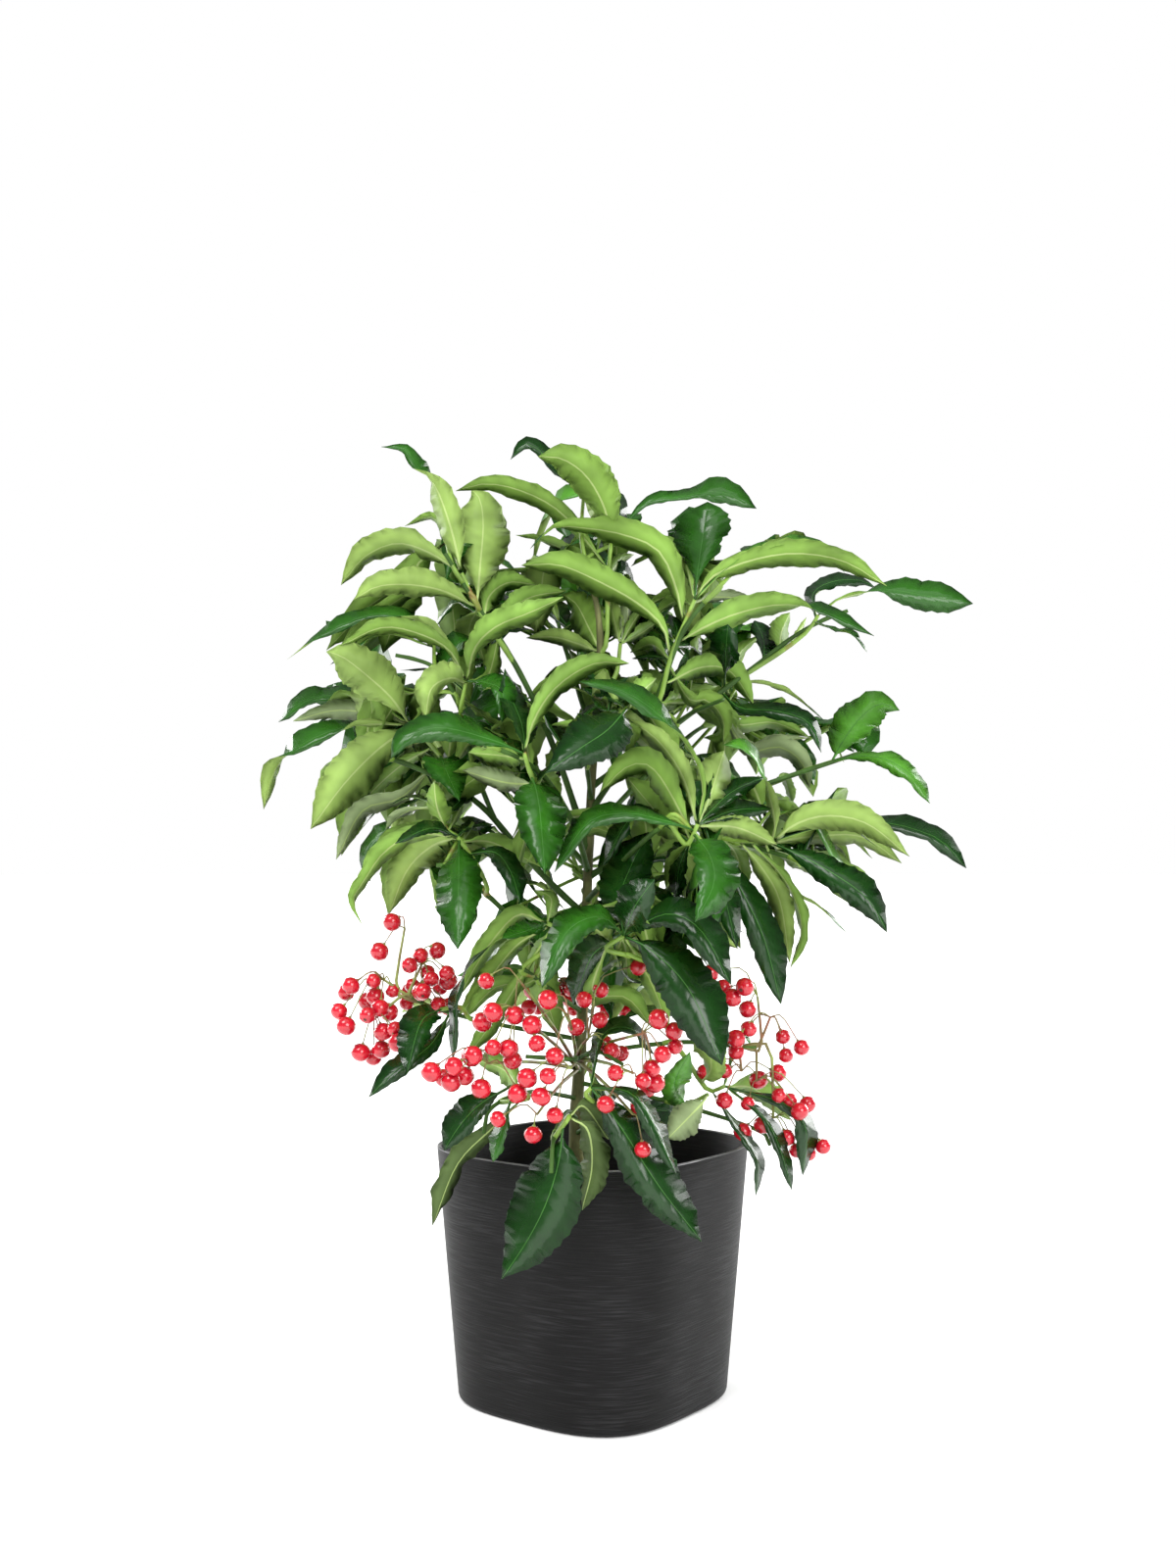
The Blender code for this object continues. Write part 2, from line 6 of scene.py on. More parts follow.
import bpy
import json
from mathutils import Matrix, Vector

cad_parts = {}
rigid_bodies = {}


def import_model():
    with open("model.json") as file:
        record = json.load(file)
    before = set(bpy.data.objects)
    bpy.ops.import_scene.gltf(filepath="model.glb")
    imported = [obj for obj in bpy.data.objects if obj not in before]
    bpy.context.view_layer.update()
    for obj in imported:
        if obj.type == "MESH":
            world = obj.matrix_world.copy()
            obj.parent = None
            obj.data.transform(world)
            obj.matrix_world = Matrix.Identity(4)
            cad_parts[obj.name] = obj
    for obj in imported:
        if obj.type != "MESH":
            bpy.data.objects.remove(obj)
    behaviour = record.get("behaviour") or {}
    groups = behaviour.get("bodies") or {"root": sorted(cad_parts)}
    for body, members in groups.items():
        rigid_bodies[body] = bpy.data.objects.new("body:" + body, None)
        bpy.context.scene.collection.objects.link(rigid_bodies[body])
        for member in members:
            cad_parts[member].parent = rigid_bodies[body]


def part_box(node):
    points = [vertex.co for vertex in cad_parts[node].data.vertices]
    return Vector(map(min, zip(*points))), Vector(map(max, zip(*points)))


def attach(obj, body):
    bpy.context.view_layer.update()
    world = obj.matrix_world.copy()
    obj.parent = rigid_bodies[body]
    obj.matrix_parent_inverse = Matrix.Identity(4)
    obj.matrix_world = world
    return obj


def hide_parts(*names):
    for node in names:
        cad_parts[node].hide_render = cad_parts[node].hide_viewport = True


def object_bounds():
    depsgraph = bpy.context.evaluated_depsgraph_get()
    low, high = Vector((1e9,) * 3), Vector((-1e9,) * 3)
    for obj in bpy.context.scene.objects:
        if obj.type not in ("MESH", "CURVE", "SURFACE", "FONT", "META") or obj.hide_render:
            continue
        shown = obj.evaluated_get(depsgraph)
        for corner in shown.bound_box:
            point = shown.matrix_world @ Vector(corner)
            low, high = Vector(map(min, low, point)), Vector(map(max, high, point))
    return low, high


bl_info = {
    "name": "Potted Coral Berry",
    "version": (1, 0, 0),
    "blender": (4, 5, 0),
    "location": "3D View > Sidebar > Coral Berry",
    "description": "Grows the leaves, fruit and bark of a coral berry shrub in its planter",
    "category": "Object",
}

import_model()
CAD_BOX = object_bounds()

import json
import math
from collections import namedtuple
from functools import lru_cache
from random import Random

import bmesh
import bpy
from mathutils import Vector, noise

ROOT = "root"
UP = Vector((0.0, 0.0, 1.0))
GOLDEN_ANGLE = math.pi * (3.0 - math.sqrt(5.0))

# Camera: where the photograph was taken from, and how its pixels map to the frame
PHOTO_WIDTH = 1200
PHOTO_HEIGHT = 1600
FOCAL_PIXELS = 1665.7
HORIZON_ROW = 885.9
CAMERA_PLACE = Vector((-0.0028, -0.8329, 0.2676))
SENSOR = 36.0

# Planter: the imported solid's own plan, at a finer step
POT_LOW, POT_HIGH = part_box("pot")
POT_HEIGHT = POT_HIGH.z
POT_RIM_HALF = 0.0711
POT_FOOT_HALF = 0.0601
POT_RIM_SQUARENESS = 2.95
POT_FOOT_SQUARENESS = 3.2
POT_TURN = math.radians(52.4)
POT_WALL = 0.0020
POT_SIDES = 144
SOIL_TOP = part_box("soil")[1].z

# Main stem
STEM_BASE_RADIUS = 0.0046
STEM_TIP_RADIUS = 0.0016
FLARE_EXTRA = 0.0040
FLARE_HEIGHT = 0.0090
MAIN_STEM_WAY = (
    (-0.008, 0.000, SOIL_TOP),
    (-0.009, 0.000, 0.135),
    (-0.007, 0.001, 0.170),
    (-0.005, 0.000, 0.210),
    (-0.003, -0.001, 0.260),
    (-0.001, 0.000, 0.311),
    (0.002, -0.004, 0.355),
    (0.003, -0.008, 0.390),
)
MAIN_STEM_CARRIES = "foliage_top_centre"

# Boughs: parent, height at which each leaves it, the way from there, the mass at its end, thickness
Limb = namedtuple("Limb", "parent leaves_at way carries base_radius tip_radius")
BOUGHS = {
    "bough_far_right": Limb("main_stem", 0.309, (
        (0.025, 0.010, 0.329), (0.056, 0.021, 0.352), (0.085, 0.028, 0.374), (0.112, 0.030, 0.394),
    ), "foliage_far_right", 0.0019, 0.0013),
    "bough_right_high": Limb("bough_far_right", 0.340, (
        (0.050, 0.004, 0.347),
    ), "foliage_right_high", 0.0014, 0.0012),
    "bough_top_right": Limb("main_stem", 0.296, (
        (0.017, -0.006, 0.325), (0.031, -0.011, 0.351), (0.041, -0.016, 0.378), (0.050, -0.020, 0.394),
    ), "foliage_top_right", 0.0021, 0.0013),
    "bough_top_left": Limb("main_stem", 0.276, (
        (-0.015, -0.005, 0.315), (-0.030, -0.010, 0.352), (-0.046, -0.015, 0.381), (-0.060, -0.020, 0.401),
    ), "foliage_top_left", 0.0022, 0.0013),
    "bough_back_top": Limb("main_stem", 0.330, (
        (-0.008, 0.032, 0.362), (-0.017, 0.064, 0.394),
    ), "foliage_back_top", 0.0018, 0.0013),
    "bough_left_mid": Limb("main_stem", 0.243, (
        (-0.030, 0.004, 0.268), (-0.058, 0.006, 0.300), (-0.084, 0.010, 0.316), (-0.108, 0.010, 0.325),
    ), "foliage_left_mid", 0.0022, 0.0014),
    "bough_left_high": Limb("bough_left_mid", 0.292, (
        (-0.062, 0.002, 0.322), (-0.068, -0.010, 0.350), (-0.080, -0.019, 0.368),
    ), "foliage_left_high", 0.0016, 0.0012),
    "bough_left_front": Limb("main_stem", 0.266, (
        (-0.010, -0.036, 0.289), (-0.022, -0.066, 0.309), (-0.036, -0.082, 0.319),
    ), "foliage_left_front", 0.0018, 0.0013),
    "bough_centre_front": Limb("main_stem", 0.303, (
        (-0.003, -0.034, 0.315), (-0.005, -0.066, 0.326),
    ), "foliage_centre_front", 0.0016, 0.0012),
    "bough_left_low": Limb("main_stem", 0.218, (
        (-0.032, -0.015, 0.235), (-0.051, -0.028, 0.253), (-0.068, -0.036, 0.267),
    ), "foliage_left_low", 0.0018, 0.0013),
    "bough_right_tip": Limb("main_stem", 0.263, (
        (0.025, 0.001, 0.280), (0.053, 0.005, 0.297), (0.086, 0.010, 0.310), (0.128, 0.015, 0.324),
    ), "foliage_right_tip", 0.0021, 0.0013),
    "bough_right_low": Limb("bough_right_tip", 0.291, (
        (0.063, -0.012, 0.284), (0.090, -0.025, 0.275),
    ), "foliage_right_low", 0.0016, 0.0012),
    "bough_right_front": Limb("main_stem", 0.251, (
        (0.011, -0.042, 0.268), (0.025, -0.078, 0.282),
    ), "foliage_right_front", 0.0018, 0.0013),
    "bough_front_low": Limb("main_stem", 0.206, (
        (0.004, -0.036, 0.217), (0.013, -0.072, 0.226),
    ), "foliage_front_low", 0.0018, 0.0013),
    "bough_left_inner": Limb("main_stem", 0.194, (
        (-0.022, -0.026, 0.208), (-0.036, -0.045, 0.220),
    ), "foliage_left_inner", 0.0015, 0.0012),
    "bough_back_left": Limb("main_stem", 0.268, (
        (-0.030, 0.042, 0.297), (-0.060, 0.078, 0.326),
    ), "foliage_back_left", 0.0020, 0.0013),
    "bough_back_right": Limb("main_stem", 0.285, (
        (0.024, 0.042, 0.313), (0.052, 0.080, 0.340),
    ), "foliage_back_right", 0.0020, 0.0013),
    "bough_back_low": Limb("main_stem", 0.226, (
        (-0.004, 0.046, 0.243), (-0.003, 0.085, 0.256),
    ), "foliage_back_low", 0.0018, 0.0013),
    "bough_fruit_left": Limb("main_stem", 0.180, (
        (-0.032, -0.012, 0.186), (-0.058, -0.020, 0.192), (-0.080, -0.026, 0.199),
    ), "berries_left", 0.0015, 0.0012),
    "bough_fruit_right": Limb("main_stem", 0.172, (
        (0.022, -0.012, 0.178), (0.046, -0.020, 0.181), (0.066, -0.026, 0.180),
    ), "berries_right", 0.0015, 0.0012),
    "bough_fruit_front": Limb("main_stem", 0.164, (
        (-0.009, -0.045, 0.176), (-0.010, -0.085, 0.180),
    ), "berries_front", 0.0015, 0.0012),
    "bough_fruit_front_right": Limb("bough_fruit_front", 0.174, (
        (0.001, -0.070, 0.182),
    ), "berries_front_right", 0.0013, 0.0011),
    "bough_fruit_back": Limb("main_stem", 0.188, (
        (-0.004, 0.040, 0.192), (-0.001, 0.070, 0.188),
    ), "berries_back", 0.0015, 0.0012),
    "bough_skirt_left": Limb("main_stem", 0.150, (
        (-0.030, -0.032, 0.158), (-0.048, -0.064, 0.155),
    ), "skirt_left", 0.0014, 0.0012),
    "bough_skirt_front": Limb("main_stem", 0.140, (
        (-0.013, -0.045, 0.150), (-0.018, -0.096, 0.147),
    ), "skirt_front", 0.0014, 0.0012),
    "bough_skirt_front_right": Limb("main_stem", 0.132, (
        (0.006, -0.042, 0.147), (0.018, -0.088, 0.150),
    ), "skirt_front_right", 0.0014, 0.0012),
    "bough_skirt_right": Limb("main_stem", 0.158, (
        (0.030, -0.010, 0.152), (0.079, -0.025, 0.139),
    ), "skirt_right", 0.0014, 0.0012),
    "bough_skirt_back": Limb("main_stem", 0.145, (
        (-0.006, 0.045, 0.158), (-0.003, 0.092, 0.160),
    ), "skirt_back", 0.0014, 0.0012),
}

# What a leaf's two sides are finished with. Some underside finishes are lit and shaded copies of one green: pale is
# painted light through the blade, grey painted light from behind, and shaded painted shade.
Dress = namedtuple("Dress", "top under")
DRESSES = {
    "dark": Dress("leaf_top_dark", "leaf_under_mid"),
    "mid": Dress("leaf_top_mid", "leaf_under_mid"),
    "fresh": Dress("leaf_top_fresh", "leaf_under_pale"),
    "pale": Dress("leaf_top_mid", "leaf_under_pale"),
    "olive": Dress("leaf_top_mid", "leaf_under_olive"),
    "grey": Dress("leaf_top_mid", "leaf_under_grey"),
    "shaded": Dress("leaf_top_dark", "leaf_under_shaded"),
}

# A leaf read off the photograph: the pixels of its midrib from base to tip, its width in millimetres, how
# much of its top (+1) or underside (-1) shows from base to tip, how far its tip stands back in millimetres,
# its dress, and where along its blade it is widest
PhotoLeaf = namedtuple("PhotoLeaf", "way width show back dress widest", defaults=(22, 0.5, 0, "mid", 0.54))
# A shoot read off the photograph: its bough, its depth at its end, the pixels of its way, its leaves
Shoot = namedtuple("Shoot", "bough depth way leaves")

SHOOTS = {
    "crown_tip_left": Shoot("bough_top_left", -0.020, ((510, 655), (497, 637), (487, 619), (471, 585)), (
        PhotoLeaf(((471, 584), (463, 548), (451, 510), (441, 489), (425, 474), (414, 456), (389, 453)),
                  18, (-0.95, -0.95, -0.8, 0.7, 0.8), 0, "pale", 0.40),
        PhotoLeaf(((486, 618), (490, 575), (493, 535), (490, 508), (481, 496)), 33, -0.97, 12, "pale", 0.62),
        PhotoLeaf(((468, 582), (440, 564), (405, 553), (372, 566), (348, 594)), 20, -0.82, 0, "pale"),
        PhotoLeaf(((486, 620), (455, 603), (420, 595), (385, 596), (361, 609)), 20, -0.82, 0, "pale"),
        PhotoLeaf(((471, 586), (455, 545), (440, 525), (413, 534)), 11, -0.6, 14, "mid"),
        PhotoLeaf(((487, 620), (479, 638), (477, 664)), 19, -0.85, 10, "pale", 0.45),
        PhotoLeaf(((501, 650), (512, 630), (540, 608), (578, 600)), 16, -0.85, 6, "olive"),
        PhotoLeaf(((491, 632), (500, 606), (520, 592), (548, 594)), 17, -0.85, 14, "olive"),
        PhotoLeaf(((492, 632), (466, 613), (443, 638)), 9, 0.5, 10, "mid"),
    )),
    "crown_tip_centre": Shoot("main_stem", -0.012, ((619, 655), (620, 610), (621, 580), (624, 552)), (
        PhotoLeaf(((624, 550), (617, 518), (599, 485), (574, 466), (549, 463)), 25, -0.93, -4, "mid", 0.52),
        PhotoLeaf(((622, 552), (600, 510), (570, 478), (540, 451), (521, 466)), 13, 0.7, 8, "dark", 0.66),
        PhotoLeaf(((618, 582), (600, 553), (568, 518), (530, 498), (495, 491), (465, 498)),
                  16, -0.78, 6, "mid", 0.55),
        PhotoLeaf(((617, 586), (590, 566), (555, 550), (526, 543)), 13, -0.45, 12, "dark"),
        PhotoLeaf(((623, 588), (632, 572), (647, 563)), 10, -0.8, 6, "mid"),
        PhotoLeaf(((622, 590), (636, 583), (648, 600)), 16, 0.6, 8, "dark"),
        PhotoLeaf(((630, 562), (640, 533), (662, 511), (695, 506), (735, 500), (772, 516)),
                  19, (0.6, 0.75, 0.6, 0.4, 0.8, 0.85), 0, "mid", 0.66),
        PhotoLeaf(((611, 664), (601, 640), (588, 614), (573, 603)), 25, -0.92, 4, "mid"),
        PhotoLeaf(((612, 665), (590, 656), (565, 648), (537, 648)), 12, -0.9, 8, "fresh"),
    )),
    "crown_low_centre": Shoot("main_stem", 0.004, ((628, 690), (633, 657)), (
        PhotoLeaf(((632, 656), (627, 632), (621, 603)), 12, -0.88, 4, "fresh"),
        PhotoLeaf(((634, 656), (640, 632), (639, 604)), 12, -0.7, 6, "grey"),
        PhotoLeaf(((635, 657), (655, 644), (678, 626)), 11, -0.7, 10, "olive"),
        PhotoLeaf(((634, 657), (648, 630), (660, 612)), 9, -0.8, 14, "mid"),
    )),
    "crown_tip_right": Shoot("bough_top_right", -0.020, ((672, 718), (684, 672), (697, 640), (709, 612)), (
        PhotoLeaf(((695, 637), (691, 602), (673, 562), (640, 545), (600, 537), (565, 536), (541, 557)),
                  20, (-0.9, -0.9, -0.88, -0.6, 0.5), -4, "mid", 0.45),
        PhotoLeaf(((681, 671), (677, 640), (650, 614), (610, 591), (570, 574), (532, 574)),
                  20, -0.92, -8, "mid", 0.58),
        PhotoLeaf(((710, 606), (713, 575), (718, 542), (722, 509)), 36, 0.93, 4, "mid", 0.72),
        PhotoLeaf(((711, 612), (725, 589), (762, 572), (810, 563), (860, 570), (905, 595)),
                  18, -0.87, 0, "mid", 0.5),
        PhotoLeaf(((713, 610), (750, 572), (800, 553), (840, 556), (862, 582)), 13, 0.35, 12, "fresh"),
        PhotoLeaf(((697, 660), (715, 641), (755, 624), (800, 615), (840, 622), (892, 646)),
                  21, (-0.85, -0.85, -0.7, 0.5, 0.8), 0, "olive", 0.46),
        PhotoLeaf(((709, 614), (730, 608), (768, 608)), 10, -0.75, 4, "grey"),
        PhotoLeaf(((692, 664), (706, 656), (716, 668)), 15, 0.8, 8, "dark"),
        PhotoLeaf(((706, 618), (685, 606), (660, 615)), 10, -0.75, 6, "mid"),
        PhotoLeaf(((700, 630), (690, 612), (668, 624)), 13, -0.7, 10, "olive"),
        PhotoLeaf(((690, 655), (690, 638), (684, 624)), 14, 0.8, 10, "dark"),
        PhotoLeaf(((682, 672), (665, 656), (643, 663)), 12, -0.7, 12, "olive"),
        PhotoLeaf(((684, 675), (665, 668), (645, 669)), 9, 0.6, 6, "dark"),
        PhotoLeaf(((705, 606), (696, 565), (668, 540)), 10, -0.7, 14, "olive"),
        PhotoLeaf(((672, 718), (665, 700), (653, 682)), 21, -0.87, 6, "olive"),
        PhotoLeaf(((676, 722), (692, 710), (690, 690)), 14, -0.8, 4, "olive"),
        PhotoLeaf(((674, 716), (700, 715), (722, 709)), 7, -0.6, 4, "mid"),
        PhotoLeaf(((690, 700), (715, 680), (745, 683), (769, 716)), 20, -0.82, 6, "olive"),
        PhotoLeaf(((684, 676), (703, 712), (722, 713), (738, 732), (738, 757)), 15, -0.7, 0, "mid", 0.6),
    )),
    "far_right": Shoot("bough_far_right", 0.030, ((725, 711), (763, 687), (797, 665), (823, 645), (835, 628)), (
        PhotoLeaf(((774, 673), (779, 652), (770, 630)), 17, 0.85, 4, "dark", 0.6),
        PhotoLeaf(((738, 700), (741, 665), (743, 634)), 22, 0.85, -6, "dark", 0.76),
        PhotoLeaf(((741, 698), (755, 665), (776, 645)), 11, -0.75, 6, "mid"),
        PhotoLeaf(((795, 666), (797, 645), (806, 622)), 17, -0.82, 4, "mid"),
        PhotoLeaf(((803, 662), (815, 645), (823, 627)), 7, -0.6, 4, "pale"),
        PhotoLeaf(((834, 628), (855, 611), (885, 603), (905, 600), (945, 606), (993, 613)),
                  22, (-0.6, -0.5, 0.7, 0.9, 0.9), 0, "mid", 0.68),
        PhotoLeaf(((832, 632), (830, 605), (850, 592), (878, 590), (895, 598)), 16, 0.6, 8, "dark"),
        PhotoLeaf(((832, 634), (850, 641), (870, 646), (885, 663)), 9, 0.3, 0, "mid"),
        PhotoLeaf(((752, 693), (780, 697), (810, 709), (842, 733)), 9, (-0.5, -0.4, 0.3), 0, "pale"),
        PhotoLeaf(((733, 706), (755, 722), (790, 724), (825, 735), (838, 765)), 15, 0.7, 0, "dark"),
        PhotoLeaf(((733, 706), (750, 737), (790, 735), (827, 750)), 14, -0.75, 8, "olive"),
        PhotoLeaf(((728, 709), (765, 762), (795, 753), (826, 750)), 9, -0.8, 10, "grey"),
        PhotoLeaf(((730, 708), (760, 762), (795, 760), (818, 775), (826, 801)), 17, -0.78, 8, "grey", 0.62),
        PhotoLeaf(((728, 710), (735, 745), (718, 750)), 15, -0.8, 12, "olive"),
    )),
    "right_tip": Shoot("bough_right_tip", 0.015, ((776, 804), (822, 786), (849, 777)), (
        PhotoLeaf(((850, 776), (862, 753), (878, 731), (898, 716), (918, 722)), 27, 0.92, 0, "fresh", 0.5),
        PhotoLeaf(((852, 777), (880, 771), (907, 775), (931, 791), (949, 817)), 15, 0.7, 0, "fresh", 0.6),
        PhotoLeaf(((790, 800), (800, 794), (808, 817)), 10, -0.7, 6, "olive"),
        PhotoLeaf(((776, 804), (803, 818), (820, 826)), 9, -0.7, 8, "olive"),
    )),
    "right_front": Shoot("bough_right_front", -0.092, ((700, 862), (712, 841)), (
        PhotoLeaf(((714, 840), (718, 805), (705, 766), (672, 728), (635, 703), (590, 692)),
                  19, (-0.5, -0.2, 0.6, 0.6), 8, "mid", 0.58),
        PhotoLeaf(((710, 842), (703, 808), (690, 778), (668, 750), (640, 730)), 15, -0.85, 12, "pale"),
        PhotoLeaf(((706, 847), (680, 838), (640, 829), (600, 838), (566, 887)), 16, 0.65, 0, "mid"),
        PhotoLeaf(((713, 840), (724, 812), (739, 763)), 20, -0.93, 4, "fresh", 0.72),
        PhotoLeaf(((712, 842), (745, 808), (780, 790)), 15, 0.8, 14, "dark"),
        PhotoLeaf(((712, 842), (748, 826), (787, 822)), 15, 0.8, 10, "dark"),
        PhotoLeaf(((712, 843), (752, 843), (793, 859)), 14, -0.92, 4, "fresh"),
        PhotoLeaf(((705, 850), (724, 872), (728, 900), (709, 938)), 25, 0.9, -8, "mid", 0.5),
        PhotoLeaf(((706, 852), (690, 862), (668, 872)), 11, -0.75, 6, "olive"),
        PhotoLeaf(((704, 854), (688, 880), (680, 905)), 12, -0.7, 12, "mid"),
        PhotoLeaf(((703, 856), (690, 820), (688, 783)), 24, -0.85, 26, "olive", 0.6),
        PhotoLeaf(((706, 850), (668, 784), (640, 780), (612, 806)), 22, -0.75, 10, "olive"),
        PhotoLeaf(((704, 856), (694, 882), (690, 915)), 20, 0.7, 14, "dark"),
        PhotoLeaf(((702, 858), (650, 830), (616, 880)), 17, 0.6, 14, "dark", 0.7),
        PhotoLeaf(((700, 858), (668, 825), (640, 790)), 22, -0.82, 30, "olive", 0.55),
        PhotoLeaf(((712, 842), (722, 790), (714, 766)), 12, 0.7, 16, "dark"),
    )),
    "right_low": Shoot("bough_right_low", -0.030, ((716, 848), (745, 857), (788, 859)), (
        PhotoLeaf(((788, 857), (791, 838), (784, 806), (774, 778), (758, 760), (738, 757)),
                  20, (-0.9, -0.8, -0.2, 0.3, 0.6), -4, "fresh", 0.6),
        PhotoLeaf(((789, 857), (812, 840), (846, 831), (886, 839), (928, 871)), 20, -0.88, -6, "pale", 0.44),
        PhotoLeaf(((789, 858), (835, 852), (880, 852), (920, 878)), 15, -0.85, 6, "pale"),
        PhotoLeaf(((788, 859), (850, 858), (869, 880)), 10, -0.8, 10, "mid"),
        PhotoLeaf(((789, 858), (862, 852), (890, 873)), 7, -0.7, 12, "mid"),
        PhotoLeaf(((789, 858), (850, 840), (900, 838), (935, 845), (962, 857), (986, 883)),
                  18, (0.1, 0.2, 0.6, 0.9), 10, "dark", 0.68),
        PhotoLeaf(((788, 859), (815, 858), (835, 862), (855, 878)), 15, 0.85, 4, "dark"),
        PhotoLeaf(((786, 860), (820, 874), (855, 893), (885, 915), (905, 947)), 21, 0.88, -6, "dark", 0.58),
        PhotoLeaf(((786, 861), (810, 874), (828, 885), (845, 902)), 14, -0.75, 4, "mid"),
        PhotoLeaf(((755, 859), (777, 884), (796, 918), (806, 980)), 16, -0.87, 0, "pale", 0.5),
        PhotoLeaf(((765, 859), (796, 890), (813, 920), (818, 952), (806, 986)), 12, -0.55, 4, "olive"),
        PhotoLeaf(((780, 860), (802, 905), (835, 923), (864, 949)), 9, (-0.6, -0.4, 0.5), 8, "pale", 0.6),
        PhotoLeaf(((742, 857), (775, 866), (799, 893)), 23, -0.75, 0, "olive"),
        PhotoLeaf(((738, 856), (752, 872), (760, 905)), 17, -0.7, 8, "mid"),
        PhotoLeaf(((728, 853), (755, 905), (779, 955), (797, 1022)), 22, 0.87, -8, "dark", 0.56),
        PhotoLeaf(((722, 850), (737, 905), (752, 965)), 18, 0.82, -12, "dark"),
        PhotoLeaf(((735, 855), (765, 935), (781, 984)), 14, 0.7, 6, "dark"),
    )),
    "front_low": Shoot("bough_front_low", -0.090, ((618, 968), (637, 955)), (
        PhotoLeaf(((635, 953), (633, 915), (645, 880), (662, 846)), 28, 0.9, -2, "dark", 0.58),
        PhotoLeaf(((637, 953), (648, 924), (668, 894)), 23, 0.9, -10, "dark", 0.56),
        PhotoLeaf(((640, 951), (680, 932), (715, 948), (746, 1002)), 21, 0.85, 0, "dark", 0.5),
        PhotoLeaf(((641, 953), (668, 972), (704, 1010), (737, 1084)), 31, 0.95, -8, "dark", 0.50),
        PhotoLeaf(((636, 953), (612, 935), (578, 950), (553, 1005)), 21, 0.8, -4, "mid", 0.5),
        PhotoLeaf(((628, 958), (604, 975), (585, 1023)), 22, 0.9, 4, "dark", 0.5),
        PhotoLeaf(((636, 956), (639, 972), (640, 992)), 13, -0.8, 2, "olive"),
        PhotoLeaf(((634, 957), (629, 972), (623, 988)), 8, -0.8, 6, "mid"),
        PhotoLeaf(((638, 957), (647, 966), (651, 980)), 8, -0.8, 6, "mid"),
        PhotoLeaf(((624, 962), (640, 996), (666, 1001)), 7, 0.3, 10, "dark"),
        PhotoLeaf(((620, 966), (605, 1012), (640, 1016), (666, 1046)), 15, -0.75, 14, "olive", 0.6),
        PhotoLeaf(((640, 957), (664, 1000), (682, 1046)), 14, -0.8, 12, "olive", 0.6),
    )),
    "centre_front": Shoot("bough_centre_front", -0.088, ((612, 742), (641, 722)), (
        PhotoLeaf(((641, 722), (620, 744), (592, 762), (556, 786)), 28, 0.95, -2, "dark", 0.44),
        PhotoLeaf(((640, 723), (620, 708), (594, 699)), 13, 0.6, 8, "dark"),
        PhotoLeaf(((641, 722), (655, 704), (670, 689)), 15, -0.8, 10, "olive"),
        PhotoLeaf(((634, 728), (617, 720), (603, 708)), 10, 0.6, 14, "mid"),
        PhotoLeaf(((630, 731), (646, 745), (636, 765)), 10, -0.7, 12, "mid"),
        PhotoLeaf(((620, 737), (600, 740), (562, 737)), 8, -0.7, 14, "olive"),
    )),
    "left_front": Shoot("bough_left_front", -0.090, ((548, 800), (540, 786), (535, 768)), (
        PhotoLeaf(((536, 768), (544, 735), (567, 700), (605, 675), (642, 674)), 18, -0.72, 6, "olive", 0.56),
        PhotoLeaf(((537, 766), (532, 738), (521, 708), (515, 679)), 20, 0.75, 14, "dark", 0.5),
        PhotoLeaf(((535, 769), (500, 754), (450, 741), (415, 750), (399, 771)), 18, 0.8, -4, "mid", 0.56),
        PhotoLeaf(((543, 792), (550, 822), (556, 889)), 28, 0.92, -8, "mid", 0.42),
        PhotoLeaf(((536, 775), (508, 769), (478, 765)), 17, -0.8, 14, "olive"),
        PhotoLeaf(((546, 802), (515, 797), (472, 783)), 14, -0.85, 10, "grey"),
        PhotoLeaf(((544, 794), (560, 797), (569, 815)), 13, -0.8, 10, "olive"),
        PhotoLeaf(((545, 795), (535, 750), (525, 742)), 9, -0.6, 16, "mid"),
    )),
    "left_high": Shoot("bough_left_high", -0.020, ((470, 724), (476, 695)), (
        PhotoLeaf(((474, 692), (450, 652), (415, 628), (375, 627), (330, 645), (293, 670)),
                  15, (-0.7, -0.7, 0.5, 0.6, -0.1), 4, "pale", 0.5),
        PhotoLeaf(((475, 693), (460, 664), (430, 646), (390, 638), (347, 656)), 14, -0.72, -2, "mid", 0.5),
        PhotoLeaf(((479, 693), (484, 661), (506, 638), (540, 623), (575, 606)), 18, -0.82, -6, "olive", 0.5),
        PhotoLeaf(((478, 695), (496, 696), (512, 704), (512, 734)), 16, 0.85, -4, "mid", 0.6),
        PhotoLeaf(((480, 697), (460, 691), (440, 701), (434, 731)), 20, -0.87, -4, "pale", 0.5),
        PhotoLeaf(((480, 694), (496, 690), (503, 672), (508, 645)), 14, -0.8, 8, "mid"),
        PhotoLeaf(((474, 705), (445, 683), (408, 681)), 7, 0.25, 10, "dark"),
        PhotoLeaf(((472, 712), (495, 730), (522, 745)), 9, -0.5, 10, "dark"),
    )),
    "left_mid": Shoot("bough_left_mid", 0.005, ((452, 776), (432, 752), (418, 739)), (
        PhotoLeaf(((419, 738), (400, 712), (375, 688), (350, 668), (333, 662)), 28, -0.95, -6, "pale", 0.60),
        PhotoLeaf(((417, 739), (384, 718), (350, 708), (314, 713), (284, 734)),
                  21, (-0.6, -0.3, 0.5, 0.6), 8, "mid", 0.6),
        PhotoLeaf(((417, 740), (380, 727), (340, 723), (299, 733)), 15, -0.82, 4, "grey", 0.5),
        PhotoLeaf(((418, 741), (380, 738), (345, 743), (311, 757), (282, 780), (269, 823)),
                  21, (-0.75, -0.7, 0.6, 0.6, -0.6, -0.7), 0, "pale", 0.56),
        PhotoLeaf(((420, 742), (388, 762), (352, 797), (317, 843)), 29, -0.95, -10, "pale", 0.48),
        PhotoLeaf(((440, 762), (412, 778), (385, 800), (362, 824)), 15, -0.8, 4, "olive"),
